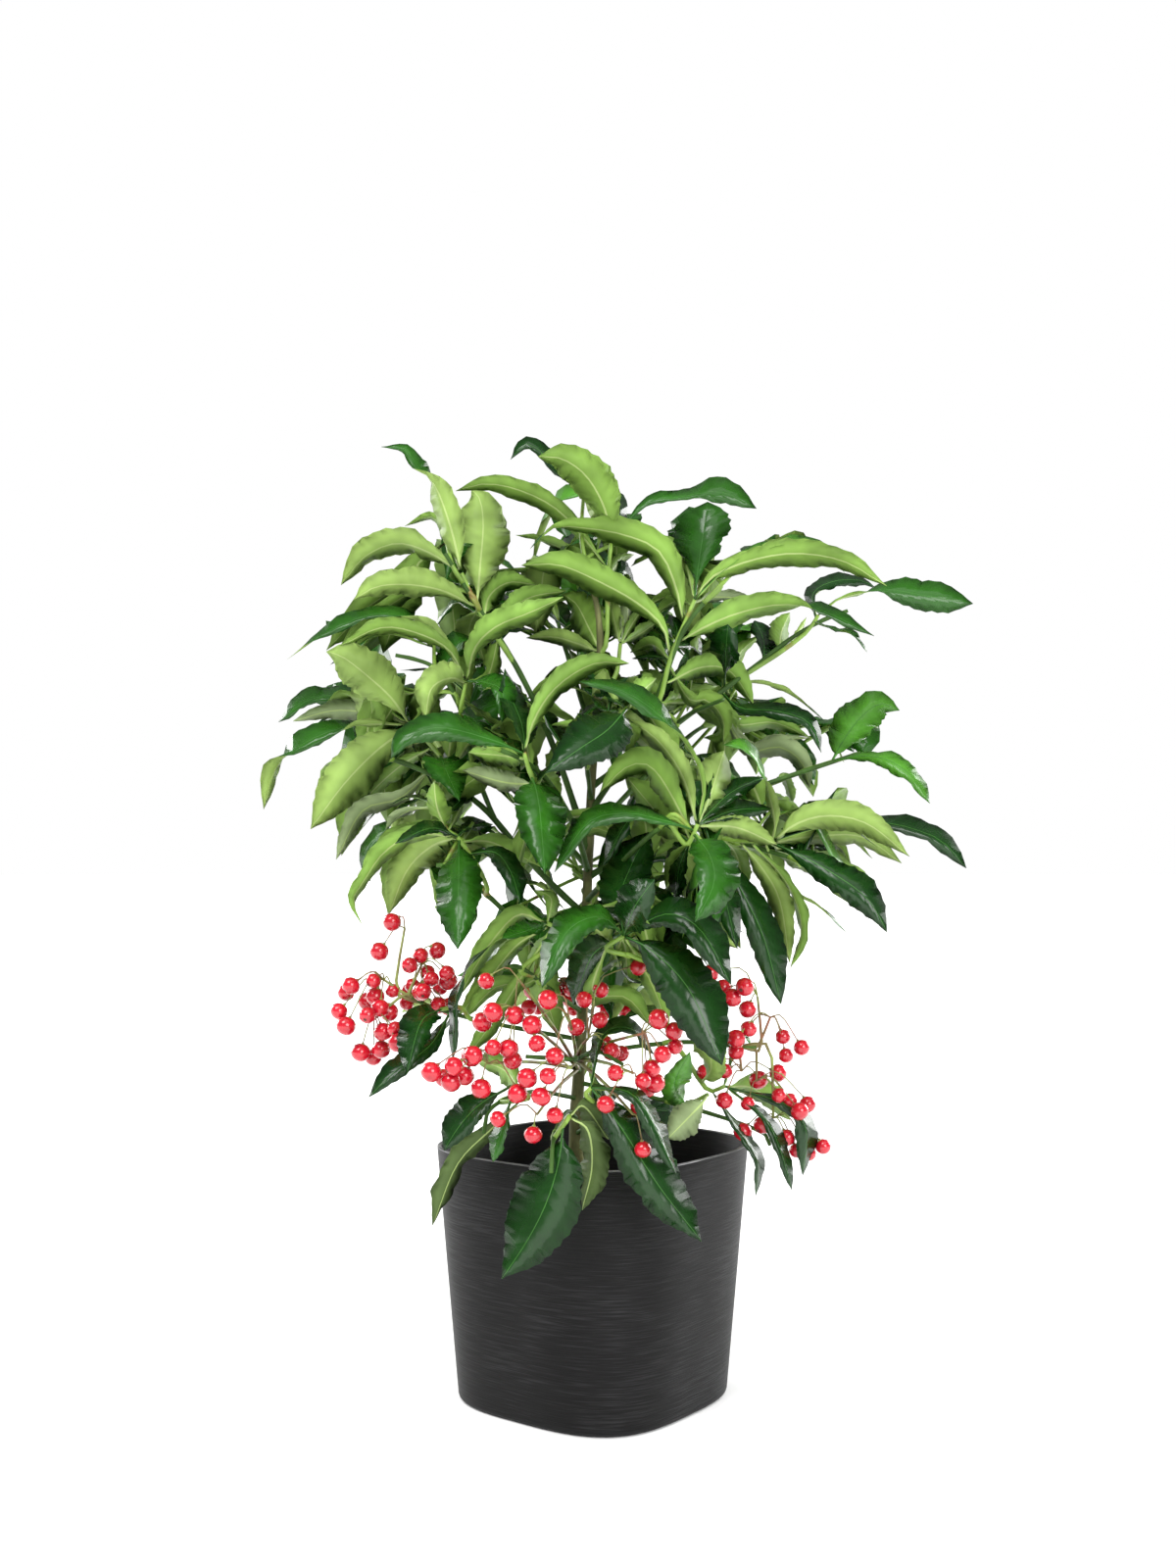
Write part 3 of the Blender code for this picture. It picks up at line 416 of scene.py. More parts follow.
        PhotoLeaf(((434, 754), (407, 766), (380, 785)), 13, -0.7, 2, "olive"),
        PhotoLeaf(((450, 774), (410, 812), (370, 825), (343, 874)), 17, -0.7, 4, "grey", 0.6),
        PhotoLeaf(((448, 770), (455, 785), (469, 815)), 26, 0.92, -20, "mid", 0.36),
    )),
    "left_low_inner": Shoot("bough_left_low", -0.030, ((475, 862), (455, 846), (444, 818)), (
        PhotoLeaf(((446, 822), (415, 827), (392, 847), (374, 869), (378, 897)),
                  15, (-0.75, -0.7, 0.6, 0.7), 4, "grey", 0.6),
        PhotoLeaf(((455, 846), (446, 822), (443, 794)), 14, -0.85, 0, "mid"),
        PhotoLeaf(((448, 826), (436, 806), (422, 816)), 10, 0.6, 4, "dark"),
        PhotoLeaf(((446, 820), (420, 812), (398, 818)), 7, 0.3, 4, "dark"),
        PhotoLeaf(((456, 848), (470, 822), (463, 834)), 6, -0.8, 4, "mid"),
        PhotoLeaf(((450, 835), (478, 806), (482, 786)), 13, 0.7, 6, "dark"),
    )),
    "left_low": Shoot("bough_left_low", -0.040, ((497, 905), (485, 880), (467, 854)), (
        PhotoLeaf(((467, 857), (468, 905), (467, 966)), 26, 0.95, -8, "mid", 0.50),
        PhotoLeaf(((466, 854), (440, 863), (415, 887), (397, 930)), 24, -0.92, -2, "pale", 0.46),
        PhotoLeaf(((465, 853), (425, 850), (392, 868), (371, 897), (360, 917), (372, 946)),
                  16, (-0.8, -0.8, -0.6, -0.2), 4, "olive", 0.42),
        PhotoLeaf(((467, 852), (440, 844), (403, 858)), 11, 0.7, 0, "dark"),
        PhotoLeaf(((470, 857), (500, 858), (530, 871), (557, 884)), 14, -0.8, 8, "olive"),
        PhotoLeaf(((480, 872), (505, 869), (521, 888), (531, 918)), 15, 0.87, -4, "dark", 0.62),
        PhotoLeaf(((468, 853), (480, 842), (503, 838)), 10, 0.6, 8, "dark"),
        PhotoLeaf(((466, 855), (452, 862), (444, 882)), 13, -0.87, 8, "pale"),
        PhotoLeaf(((470, 858), (490, 868), (511, 866)), 9, -0.8, 12, "pale"),
    )),
    "left_inner": Shoot("bough_left_inner", -0.055, ((575, 955), (558, 942)), (
        PhotoLeaf(((560, 938), (530, 932), (504, 956), (484, 986), (466, 1018)), 16, -0.78, 0, "olive", 0.42),
        PhotoLeaf(((560, 948), (528, 963), (498, 998), (468, 1034)), 14, -0.8, 4, "mid"),
        PhotoLeaf(((562, 948), (546, 998), (506, 1005), (474, 1036)), 12, -0.75, 8, "olive", 0.66),
        PhotoLeaf(((562, 946), (552, 990), (569, 1054)), 21, -0.85, 10, "olive"),
        PhotoLeaf(((558, 942), (505, 960), (468, 1005), (462, 1079)), 17, (-0.5, 0.2, 0.5), 10, "dark", 0.68),
        PhotoLeaf(((557, 941), (540, 948), (512, 955)), 13, 0.7, -6, "mid"),
        PhotoLeaf(((563, 947), (510, 1030), (476, 1076)), 14, -0.8, 16, "olive", 0.7),
        PhotoLeaf(((558, 941), (562, 915), (545, 905)), 11, -0.8, 12, "olive"),
    )),
    "fruit_left": Shoot("bough_fruit_left", -0.030, ((470, 1028), (449, 1030)), (
        PhotoLeaf(((450, 1030), (430, 1042), (415, 1093)), 21, 0.87, -10, "dark", 0.46),
        PhotoLeaf(((462, 1029), (440, 1065), (405, 1090), (376, 1117)), 15, 0.82, 2, "dark"),
        PhotoLeaf(((450, 1030), (432, 1022), (410, 1030)), 10, -0.8, 4, "pale"),
    )),
    "fruit_right": Shoot("bough_fruit_right", -0.030, ((700, 1080), (722, 1112), (740, 1108)), (
        PhotoLeaf(((726, 1112), (748, 1145), (772, 1180), (771, 1218)), 15, 0.45, -10, "dark"),
        PhotoLeaf(((740, 1108), (780, 1140), (797, 1175), (808, 1212)), 15, 0.55, -6, "dark", 0.6),
        PhotoLeaf(((738, 1108), (800, 1125), (822, 1150), (819, 1197)), 19, 0.6, 0, "dark", 0.62),
        PhotoLeaf(((738, 1108), (770, 1110), (806, 1140)), 21, -0.75, 6, "olive"),
        PhotoLeaf(((712, 1108), (726, 1086), (716, 1036)), 20, -0.82, 0, "pale"),
        PhotoLeaf(((738, 1108), (756, 1055), (768, 1065)), 10, 0.5, 4, "fresh", 0.7),
    )),
    "skirt_front": Shoot("bough_skirt_front", -0.108, ((580, 1140), (577, 1146)), (
        PhotoLeaf(((574, 1147), (571, 1182), (558, 1225), (538, 1264), (512, 1302)), 37, 0.95, -6, "dark", 0.42),
        PhotoLeaf(((579, 1130), (600, 1152), (604, 1190), (594, 1232)), 19, -0.8, 14, "shaded", 0.50),
        PhotoLeaf(((579, 1130), (596, 1128), (621, 1160)), 17, -0.8, 18, "shaded"),
    )),
    "skirt_front_right": Shoot("bough_skirt_front_right", -0.100, ((600, 1120), (603, 1110)), (
        PhotoLeaf(((603, 1110), (635, 1152), (671, 1207), (716, 1264)), 29, 0.9, -6, "dark", 0.5),
        PhotoLeaf(((603, 1110), (650, 1120), (690, 1195)), 17, 0.6, 2, "dark"),
        PhotoLeaf(((603, 1110), (615, 1055), (645, 1048), (668, 1074)), 17, 0.5, 10, "dark", 0.64),
    )),
    "skirt_left": Shoot("bough_skirt_left", -0.078, ((540, 1120), (522, 1108)), (
        PhotoLeaf(((522, 1108), (490, 1126), (470, 1146), (453, 1171)), 20, 0.82, -2, "dark"),
        PhotoLeaf(((530, 1118), (500, 1152), (466, 1187), (441, 1248)), 20, -0.6, 0, "shaded", 0.54),
        PhotoLeaf(((524, 1112), (512, 1152), (503, 1183)), 12, 0.7, -6, "mid", 0.64),
        PhotoLeaf(((530, 1114), (514, 1090), (484, 1078)), 18, -0.8, 10, "olive"),
    )),
    "skirt_right": Shoot("bough_skirt_right", -0.050, ((700, 1128), (722, 1117)), (
        PhotoLeaf(((732, 1117), (712, 1129), (681, 1159)), 22, -0.8, -10, "grey", 0.5),
        PhotoLeaf(((700, 1128), (688, 1105), (704, 1070)), 17, 0.87, -10, "fresh", 0.5),
    )),
}

# Leaves that the growing rule adds to each mass, and whether they keep to its rear half
Growth = namedtuple("Growth", "piece shoots leaves rear dress")
GROWTH = {
    "foliage_top_left": Growth("leaves_top", 5, 35, True, "mid"),
    "foliage_top_centre": Growth("leaves_top", 6, 42, True, "mid"),
    "foliage_top_right": Growth("leaves_top", 5, 35, True, "mid"),
    "foliage_back_top": Growth("leaves_top", 9, 72, False, "mid"),
    "foliage_far_right": Growth("leaves_right", 4, 26, True, "dark"),
    "foliage_right_high": Growth("leaves_right", 6, 42, True, "mid"),
    "foliage_right_tip": Growth("leaves_right", 1, 4, True, "mid"),
    "foliage_right_low": Growth("leaves_right", 6, 42, True, "dark"),
    "foliage_back_right": Growth("leaves_right", 11, 88, False, "mid"),
    "foliage_left_high": Growth("leaves_left", 4, 26, True, "mid"),
    "foliage_left_mid": Growth("leaves_left", 6, 42, True, "mid"),
    "foliage_left_low": Growth("leaves_left", 5, 35, True, "mid"),
    "foliage_left_inner": Growth("leaves_left", 3, 18, True, "mid"),
    "foliage_back_left": Growth("leaves_left", 11, 88, False, "mid"),
    "foliage_left_front": Growth("leaves_front", 5, 35, True, "mid"),
    "foliage_centre_front": Growth("leaves_front", 5, 35, True, "dark"),
    "foliage_right_front": Growth("leaves_front", 6, 42, True, "dark"),
    "foliage_front_low": Growth("leaves_front", 5, 35, True, "dark"),
    "foliage_back_low": Growth("leaves_back", 12, 96, False, "dark"),
    "skirt_front": Growth("leaves_skirt", 1, 6, True, "dark"),
    "skirt_front_right": Growth("leaves_skirt", 1, 6, True, "dark"),
    "skirt_left": Growth("leaves_skirt", 2, 10, True, "dark"),
    "skirt_right": Growth("leaves_skirt", 2, 10, True, "dark"),
    "skirt_back": Growth("leaves_back", 10, 70, False, "dark"),
}

# Fruit read off the photograph, by umbel: its mass, its depth, the pixel of its hub, and those of its berries
Umbel = namedtuple("Umbel", "mass depth hub berries")
UMBELS = (
    Umbel("berries_left", -0.030, (413, 947), ((400, 941), (387, 971))),
    Umbel("berries_left", -0.030, (430, 985), (
        (446, 970), (429, 975), (418, 985), (436, 992), (440, 999), (456, 993), (457, 1001), (430, 1012),
        (421, 1006),
    )),
    Umbel("berries_left", -0.030, (392, 1000), (
        (381, 1001), (358, 1006), (353, 1013), (401, 1011), (383, 1017), (346, 1032), (353, 1047),
        (375, 1022), (388, 1029),
    )),
    Umbel("berries_left", -0.034, (382, 1040), (
        (397, 1033), (375, 1036), (391, 1053), (403, 1050), (368, 1074), (381, 1079), (389, 1071), (406, 1064),
    )),
    Umbel("berries_front", -0.100, (529, 999), ((496, 1001), (525, 1036))),
    Umbel("berries_front", -0.100, (527, 1036), (
        (503, 1033), (492, 1043), (519, 1070), (503, 1069), (523, 1082), (548, 1065),
    )),
    Umbel("berries_front", -0.104, (580, 1036), ((559, 1020), (543, 1046), (566, 1078))),
    Umbel("berries_front", -0.100, (498, 1085), (
        (440, 1094), (463, 1088), (460, 1104), (474, 1098), (491, 1111), (481, 1078), (528, 1116),
        (483, 1077), (453, 1100),
    )),
    Umbel("berries_front", -0.108, (582, 1090), ((538, 1100), (559, 1098), (552, 1119), (566, 1138))),
    Umbel("berries_front", -0.100, (548, 1137), ((508, 1142), (544, 1158))),
    Umbel("berries_front_right", -0.100, (655, 1055), (
        (672, 1040), (688, 1052), (689, 1068), (676, 1076), (665, 1090), (656, 1103), (668, 1105),
        (661, 1112),
    )),
    Umbel("berries_front_right", -0.104, (646, 1095), ((628, 1095), (618, 1127), (652, 1128))),
    Umbel("berries_front_right", -0.104, (646, 1137), ((656, 1173),)),
    Umbel("berries_front_right", -0.070, (600, 1060), (
        (612, 1041), (588, 1048), (596, 1020), (624, 1073), (634, 1075), (613, 1010), (616, 1065),
        (651, 987),
    )),
    Umbel("berries_right", -0.030, (773, 1017), ((725, 993), (738, 1008), (747, 1018), (760, 1007), (763, 1030))),
    Umbel("berries_right", -0.030, (786, 1038), (
        (764, 1050), (751, 1060), (751, 1073), (799, 1058), (818, 1069), (802, 1077),
    )),
    Umbel("berries_right", -0.030, (757, 1093), ((794, 1095), (774, 1102), (719, 1094), (740, 1093), (739, 1123))),
    Umbel("berries_right", -0.034, (772, 1103), ((763, 1126), (795, 1118), (806, 1123), (824, 1127), (816, 1134))),
    Umbel("berries_right", -0.030, (789, 1141), ((758, 1155), (803, 1161), (813, 1174), (840, 1170),
                                                      (778, 1148), (825, 1177))),
)

# Where the stalks of the two front fruit masses spring from their boughs
FRUIT_JOINTS = {"berries_front": (582, 1092), "berries_front_right": (584, 1090)}

# How finely things are made
LIMB_SAMPLES = 9

# How far leaves reach towards the camera or away from it
LEAF_LENGTH = 0.078
HIDDEN_SHARE = 0.75
BLADE_SCALE = 0.0009
TIP_DROP = 3.0
MOST_HIDDEN = 0.042
FRONT_LIMIT = CAD_BOX[0][1] - 0.010
BACK_LIMIT = CAD_BOX[1][1] + 0.008
RIM_ROW = 1155
SHOWN_LIMB_SHARE = 0.78

# The grid of cells, in pixels, on which the photograph's own leaves are marked
COVER_CELL = 7
COVER_GAP = 0.004
# What the planter hides: the columns and rows it fills in the photograph, and the depth of its rear
PLANTER_COLUMNS = (474, 728)
PLANTER_ROWS = (1152, 1440)
PLANTER_REAR = 0.071
LEAST_COVER = 0.94
LEAF_TRIES = 40
FEWEST_LEAVES = 3
INNER_REACH = 0.034
FINE_LEAF_RINGS = 29
GROWN_LEAF_RINGS = 15
LEAF_COLUMNS = (-0.5, -0.025, 0.025, 0.5)
SHOOT_SIDES = 8
SHOOT_RINGS = 12
STALK_SIDES = 5
STALK_RINGS = 6

LEAF_FINISHES = (
    "leaf_top_dark", "leaf_top_mid", "leaf_top_fresh",
    "leaf_under_pale", "leaf_under_mid", "leaf_under_olive", "leaf_under_grey", "leaf_under_shaded",
    "leaf_rib_top", "leaf_rib_under",
)


def from_photo(pixel, depth):
    """The point at a depth that the photograph shows at a pixel."""
    scale = (depth - CAMERA_PLACE.y) / FOCAL_PIXELS
    across = CAMERA_PLACE.x + (pixel[0] - PHOTO_WIDTH / 2) * scale
    return Vector((across, depth, CAMERA_PLACE.z + (HORIZON_ROW - pixel[1]) * scale))


def pixel_of(place):
    """The pixel at which the photograph shows a place."""
    scale = (place.y - CAMERA_PLACE.y) / FOCAL_PIXELS
    return (
        PHOTO_WIDTH / 2 + (place.x - CAMERA_PLACE.x) / scale,
        HORIZON_ROW - (place.z - CAMERA_PLACE.z) / scale,
    )


def smooth_way(points, samples):
    """Evenly spread samples of a smooth curve through the points."""
    way = [Vector(point) for point in points]
    way.insert(0, way[0] * 2.0 - way[1])
    way.append(way[-1] * 2.0 - way[-2])
    spans = len(way) - 3
    result = []
    for step in range(samples):
        place = spans * step / (samples - 1)
        span = min(int(place), spans - 1)
        t = place - span
        before, start, end, after = way[span:span + 4]
        result.append(0.5 * (
            2.0 * start + (end - before) * t
            + (2.0 * before - 5.0 * start + 4.0 * end - after) * t ** 2
            + (3.0 * start - before - 3.0 * end + after) * t ** 3
        ))
    return result


def point_at_height(way, height):
    for low, high in zip(way, way[1:]):
        if low.z <= height <= high.z:
            return low.lerp(high, (height - low.z) / (high.z - low.z))
    raise ValueError(f"the way doesn't reach a height of {height}")


@lru_cache(maxsize=None)
def box_of(node):
    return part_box(node)


def middle_and_half(node):
    low, high = box_of(node)
    return (low + high) / 2.0, (high - low) / 2.0


def reach_in(node, start, direction):
    """How far a direction runs from a point to the ball that fills a node's box."""
    middle, half = middle_and_half(node)
    ray = Vector((direction.x / half.x, direction.y / half.y, direction.z / half.z))
    gap = start - middle
    offset = Vector((gap.x / half.x, gap.y / half.y, gap.z / half.z))
    a = ray.length_squared
    b = 2.0 * ray.dot(offset)
    c = offset.length_squared - 1.0
    root = max(b * b - 4.0 * a * c, 0.0)
    return max((-b + math.sqrt(root)) / (2.0 * a), 0.0)


@lru_cache(maxsize=None)
def limb_ways():
    """The way of the main stem and of every bough, from its parent to well inside the mass it carries."""
    stem_way = [Vector(point) for point in MAIN_STEM_WAY]
    middle = middle_and_half(MAIN_STEM_CARRIES)[0]
    ways = {"main_stem": smooth_way(stem_way + [stem_way[-1].lerp(middle, 0.6)], 3 * LIMB_SAMPLES)}
    for name, bough in BOUGHS.items():
        start = point_at_height(ways[bough.parent], bough.leaves_at)
        middle = middle_and_half(bough.carries)[0]
        end = Vector(bough.way[-1]).lerp(middle, 0.6)
        ways[name] = smooth_way([start, *bough.way, end], LIMB_SAMPLES)
    return ways


def grow_on(way, points, samples=SHOOT_RINGS):
    """A shoot's way: it leaves a limb a little before its nearest point and runs through its own points."""
    nearest = min(range(len(way)), key=lambda index: (way[index] - points[0]).length)
    start = max(min(nearest, len(way) - 1) - 1, 0)
    leave = way[start]
    reach = (points[0] - leave).length
    ahead = leave + (way[start + 1] - leave).normalized() * reach * 0.35
    return smooth_way([leave, ahead, *points], samples)


def shoot_way(shoot, ways):
    """The way of a shoot read off the photograph, on from its bough."""
    bough = ways[shoot.bough]
    leave = min(bough, key=lambda place: (place - from_photo(shoot.way[0], shoot.depth)).length)
    count = len(shoot.way)
    points = []
    for index, pixel in enumerate(shoot.way):
        share = (index + 1) / count
        points.append(from_photo(pixel, leave.y + (shoot.depth - leave.y) * share))
    return grow_on(bough, points)


def frames_along(way):
    """A tangent and two sideways directions at each sample of a way, without twist."""
    frames = []
    last = len(way) - 1
    side = None
    for index, place in enumerate(way):
        tangent = (way[min(index + 1, last)] - way[max(index - 1, 0)]).normalized()
        if side is None:
            side = tangent.cross(Vector((0.36, 0.48, 0.8)))
        side = (side - tangent * side.dot(tangent)).normalized()
        frames.append((place, tangent, side, tangent.cross(side)))
    return frames


def mesh_of(name, bm):
    mesh = bpy.data.meshes.new(name)
    bm.to_mesh(mesh)
    bm.free()
    return mesh


def tube_pattern(sides, rings):
    """A closed tube one unit long and one in radius, in even rings."""
    bm = bmesh.new()
    bmesh.ops.create_cone(bm, cap_ends=True, segments=sides, radius1=1.0, radius2=1.0, depth=1.0)
    bmesh.ops.translate(bm, verts=bm.verts[:], vec=(0.0, 0.0, 0.5))
    risers = [edge for edge in bm.edges if abs(edge.verts[0].co.z - edge.verts[1].co.z) > 0.5]
    if rings > 2:
        bmesh.ops.subdivide_edges(bm, edges=risers, cuts=rings - 2)
    return mesh_of("tube_pattern", bm)


def leaf_pattern(stations, columns):
    """A flat leaf one unit long: two sheets joined at the margin, with a rib strip down each.

    It has few faces: only its margin has a vertex at every station, the ribs have one at every other.
    """
    bm = bmesh.new()
    bm.loops.layers.uv.new("UVMap")
    bmesh.ops.create_grid(
        bm, x_segments=len(columns) - 1, y_segments=(stations - 1) // 2, size=0.5, calc_uvs=True,
    )
    margin_edges = [
        edge for edge in bm.edges
        if abs(edge.verts[0].co.x + edge.verts[1].co.x) > 0.99
        and abs(edge.verts[0].co.x - edge.verts[1].co.x) < 0.01
    ]
    bmesh.ops.subdivide_edges(bm, edges=margin_edges, cuts=1)
    for face in [face for face in bm.faces if len(face.verts) == 5]:
        verts = sorted(face.verts, key=lambda vert: (round(abs(vert.co.x), 2), vert.co.y))
        bmesh.utils.face_split(face, verts[0], verts[3])
    bmesh.ops.translate(bm, verts=bm.verts[:], vec=(0.0, 0.5, 0.0))
    step = 1.0 / (len(columns) - 1)
    middle_column = (len(columns) - 2) // 2
    for face in bm.faces:
        column = int((face.calc_center_median().x + 0.5) / step)
        face.material_index = 1 if column == middle_column else 0
        face.smooth = True
    sheet = bm.faces[:]
    bmesh.ops.solidify(bm, geom=sheet, thickness=0.1)
    bm.normal_update()
    for face in bm.faces:
        face.smooth = True
        if face.normal.z < -0.5:
            face.material_index += 2
    margin = [
        vert for vert in bm.verts
        if abs(abs(vert.co.x) - 0.5) < 0.01 or vert.co.y < 0.001 or vert.co.y > 0.999
    ]
    middle_height = sum(vert.co.z for vert in bm.verts) / len(bm.verts)
    for vert in bm.verts:
        above = vert.co.z > middle_height
        column = round((vert.co.x + 0.5) / step)
        vert.co.x = columns[column]
        vert.co.z = 1.0 if above else -1.0
    for vert in margin:
        vert.co.z = 0.0
    bmesh.ops.remove_doubles(bm, verts=bm.verts[:], dist=0.0001)
    layer = bm.loops.layers.uv.active
    for face in bm.faces:
        for loop in face.loops:
            loop[layer].uv = (loop.vert.co.x + 0.5, loop.vert.co.y)
    return mesh_of("leaf_pattern", bm)


class Sheaf:
    """Copies of patterns, each bent to its place, that end as one joined mesh."""

    def __init__(self):
        self.bm = bmesh.new()

    def lay(self, pattern, place, finish=None):
        """Append a copy of a pattern, move its vertices by place, and renumber its materials."""
        first_vert = len(self.bm.verts)
        first_face = len(self.bm.faces)
        self.bm.from_mesh(pattern)
        self.bm.verts.ensure_lookup_table()
        self.bm.faces.ensure_lookup_table()
        for index in range(first_vert, len(self.bm.verts)):
            vert = self.bm.verts[index]
            vert.co = place(vert.co)
        for index in range(first_face, len(self.bm.faces)):
            face = self.bm.faces[index]
            face.smooth = True
            if finish is not None:
                face.material_index = finish[face.material_index]

    def lay_tube(self, pattern, rings, way, radii, finish=None, relief=None):
        """Lay a tube pattern along a way that has one sample to a ring."""
        frames = frames_along(way)

        def place(co):
            ring = round(co.z * (rings - 1))
            centre, _, side, other = frames[ring]
            radius = radii[ring]
            if relief is not None:
                radius *= relief(ring, math.atan2(co.y, co.x))
            return centre + side * (co.x * radius) + other * (co.y * radius)

        self.lay(pattern, place, finish)

    def finish(self, name, finishes, slot, *nodes):
        """End as one object that rides on the root and replaces its nodes."""
        mesh = mesh_of(name, self.bm)
        for finish in finishes:
            mesh.materials.append(finish)
        piece = bpy.data.objects.new(name, mesh)
        bpy.context.scene.collection.objects.link(piece)
        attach(piece, ROOT)
        if nodes:
            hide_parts(*nodes)
        return piece


def leaf_shape(share, widest):
    """Width of a blade along its length, from 0 up to 1 where it is widest, and back to its tip."""
    fall = max(1.75 * (1.0 - widest), 0.84)
    rise = fall * widest / (1.0 - widest)
    peak = widest ** rise * (1.0 - widest) ** fall
    drawn_out = 1.0 - 9.0 * max(share - 0.8, 0.0) ** 2
    return drawn_out * share ** rise * (1.0 - share) ** fall / peak


def spine_of(points, rings):
    """Evenly spaced places along the smooth curve through some points, and its tangents."""
    fine = smooth_way(points, 12 * len(points))
    runs = [0.0]
    for before, after in zip(fine, fine[1:]):
        runs.append(runs[-1] + (after - before).length)
    places = []
    span = 0
    for ring in range(rings):
        run = runs[-1] * ring / (rings - 1)
        while span < len(runs) - 2 and runs[span + 1] < run:
            span += 1
        share = (run - runs[span]) / max(runs[span + 1] - runs[span], 1e-9)
        places.append(fine[span].lerp(fine[span + 1], share))
    last = rings - 1
    tangents = [
        (places[min(ring + 1, last)] - places[max(ring - 1, 0)]).normalized() for ring in range(rings)
    ]
    return places, tangents


def along(values, t):
    """The value at a share t of an evenly spread row of values, eased between them."""
    if isinstance(values, (int, float)):
        return values
    place = t * (len(values) - 1)
    span = min(int(place), len(values) - 2)
    ease = place - span
    ease = ease * ease * (3.0 - 2.0 * ease)
    return values[span] + (values[span + 1] - values[span]) * ease


def camera_normals(places, tangents, show):
    """Top-side normals that show the camera the wanted share of a leaf's top, or of its underside."""
    count = len(places)
    towards = []
    upright = []
    for place, tangent in zip(places, tangents):
        view = CAMERA_PLACE - place
        view = (view - tangent * view.dot(tangent)).normalized()
        towards.append(view)
        upright.append(view.cross(tangent))
    middle = count // 2
    if upright[middle].z < 0.0:
        upright[middle] = -upright[middle]
    for index in range(middle + 1, count):
        if upright[index].dot(upright[index - 1]) < 0.0:
            upright[index] = -upright[index]
    for index in range(middle - 1, -1, -1):
        if upright[index].dot(upright[index + 1]) < 0.0:
            upright[index] = -upright[index]
    normals = []
    for index in range(count):
        roll = math.asin(along(show, index / (count - 1)))
        normals.append(upright[index] * math.cos(roll) + towards[index] * math.sin(roll))
    return normals


def carried_normals(tangents, hint, roll):
    """Top-side normals carried along a leaf from a hint at its middle, with an even roll."""
    count = len(tangents)
    middle = count // 2
    normals = [None] * count
    current = (hint - tangents[middle] * hint.dot(tangents[middle])).normalized()
    normals[middle] = current
    for index in range(middle + 1, count):
        previous = normals[index - 1]
        normals[index] = (previous - tangents[index] * previous.dot(tangents[index])).normalized()
    for index in range(middle - 1, -1, -1):
        following = normals[index + 1]
        normals[index] = (following - tangents[index] * following.dot(tangents[index])).normalized()
    turned = []
    for index, normal in enumerate(normals):
        angle = roll * (index / (count - 1) - 0.5)
        across = normal.cross(tangents[index])
        turned.append(normal * math.cos(angle) + across * math.sin(angle))
    return turned


def lay_leaf(sheaf, pattern, rings, places, tangents, normals, width, widest, rng, dress):
    """Bend a leaf pattern to its spine, with its petiole, teeth, fold, veins and ruffled margin."""
    leaf = bpy.context.scene.berry_leaf
    length = sum((after - before).length for before, after in zip(places, places[1:]))
    petiole = min(leaf.petiole_length / length, 0.2)
    fold = rng.uniform(0.0, 0.30)
    ruffle = leaf.ruffle * rng.uniform(0.6, 1.5)
    waves = (rng.uniform(2.5, 4.0), rng.uniform(5.0, 7.0))
    phases = [rng.uniform(0.0, math.tau) for _ in range(4)]
    jitter = [rng.uniform(0.5, 1.5) for _ in range(2 * rings)]

    def place(co):
        ring = round(co.y * (rings - 1))
        tangent = tangents[ring]
        normal = normals[ring]
        across = tangent.cross(normal)
        if co.y < petiole:
            span = leaf.petiole_width
            half_thickness = leaf.petiole_width * 0.5
        else:
            share = (co.y - petiole) / (1.0 - petiole)
            least = leaf.petiole_width * (1.0 - share) + 0.0002 * share
            span = max(width * leaf_shape(share, widest), least)
            fade = max(1.0 - share * 4.0, 0.0)
            half_thickness = leaf.thickness * 0.5 + leaf.petiole_width * 0.3 * fade
        out = abs(co.x) * 2.0
        side = 0 if co.x < 0.0 else 1
        offset = co.x * span
        if out < 0.1:
            rib = leaf.rib_width * (1.0 - 0.7 * co.y) * (0.5 if co.z > 0.0 else 1.0)
            offset = math.copysign(min(rib * 0.5, span * 0.3), co.x)
        if out > 0.9 and ring % 2 and co.y > petiole:
            offset *= 1.0 - leaf.tooth_depth * jitter[ring + side * rings]
        swing = math.sin(math.tau * waves[0] * co.y + phases[side])
        swing += 0.6 * math.sin(math.tau * waves[1] * co.y + phases[2 + side])
        lift = span * (fold * out * 0.5 + ruffle * swing * out * out)
        return (
            places[ring] + across * offset
            + normal * (lift + co.z * half_thickness)
        )

    top, under = DRESSES[dress]
    finish = (
        LEAF_FINISHES.index(top), LEAF_FINISHES.index("leaf_rib_top"),
        LEAF_FINISHES.index(under), LEAF_FINISHES.index("leaf_rib_under"),
    )
    sheaf.lay(pattern, place, finish)


def nearest_to_pixel(way, pixel):
    """The place on a way that the photograph shows nearest to a pixel."""
    def distance(place):
        column, row = pixel_of(place)
        return math.hypot(column - pixel[0], row - pixel[1])

    fine = smooth_way(way, 4 * len(way))
    return min(fine, key=distance)


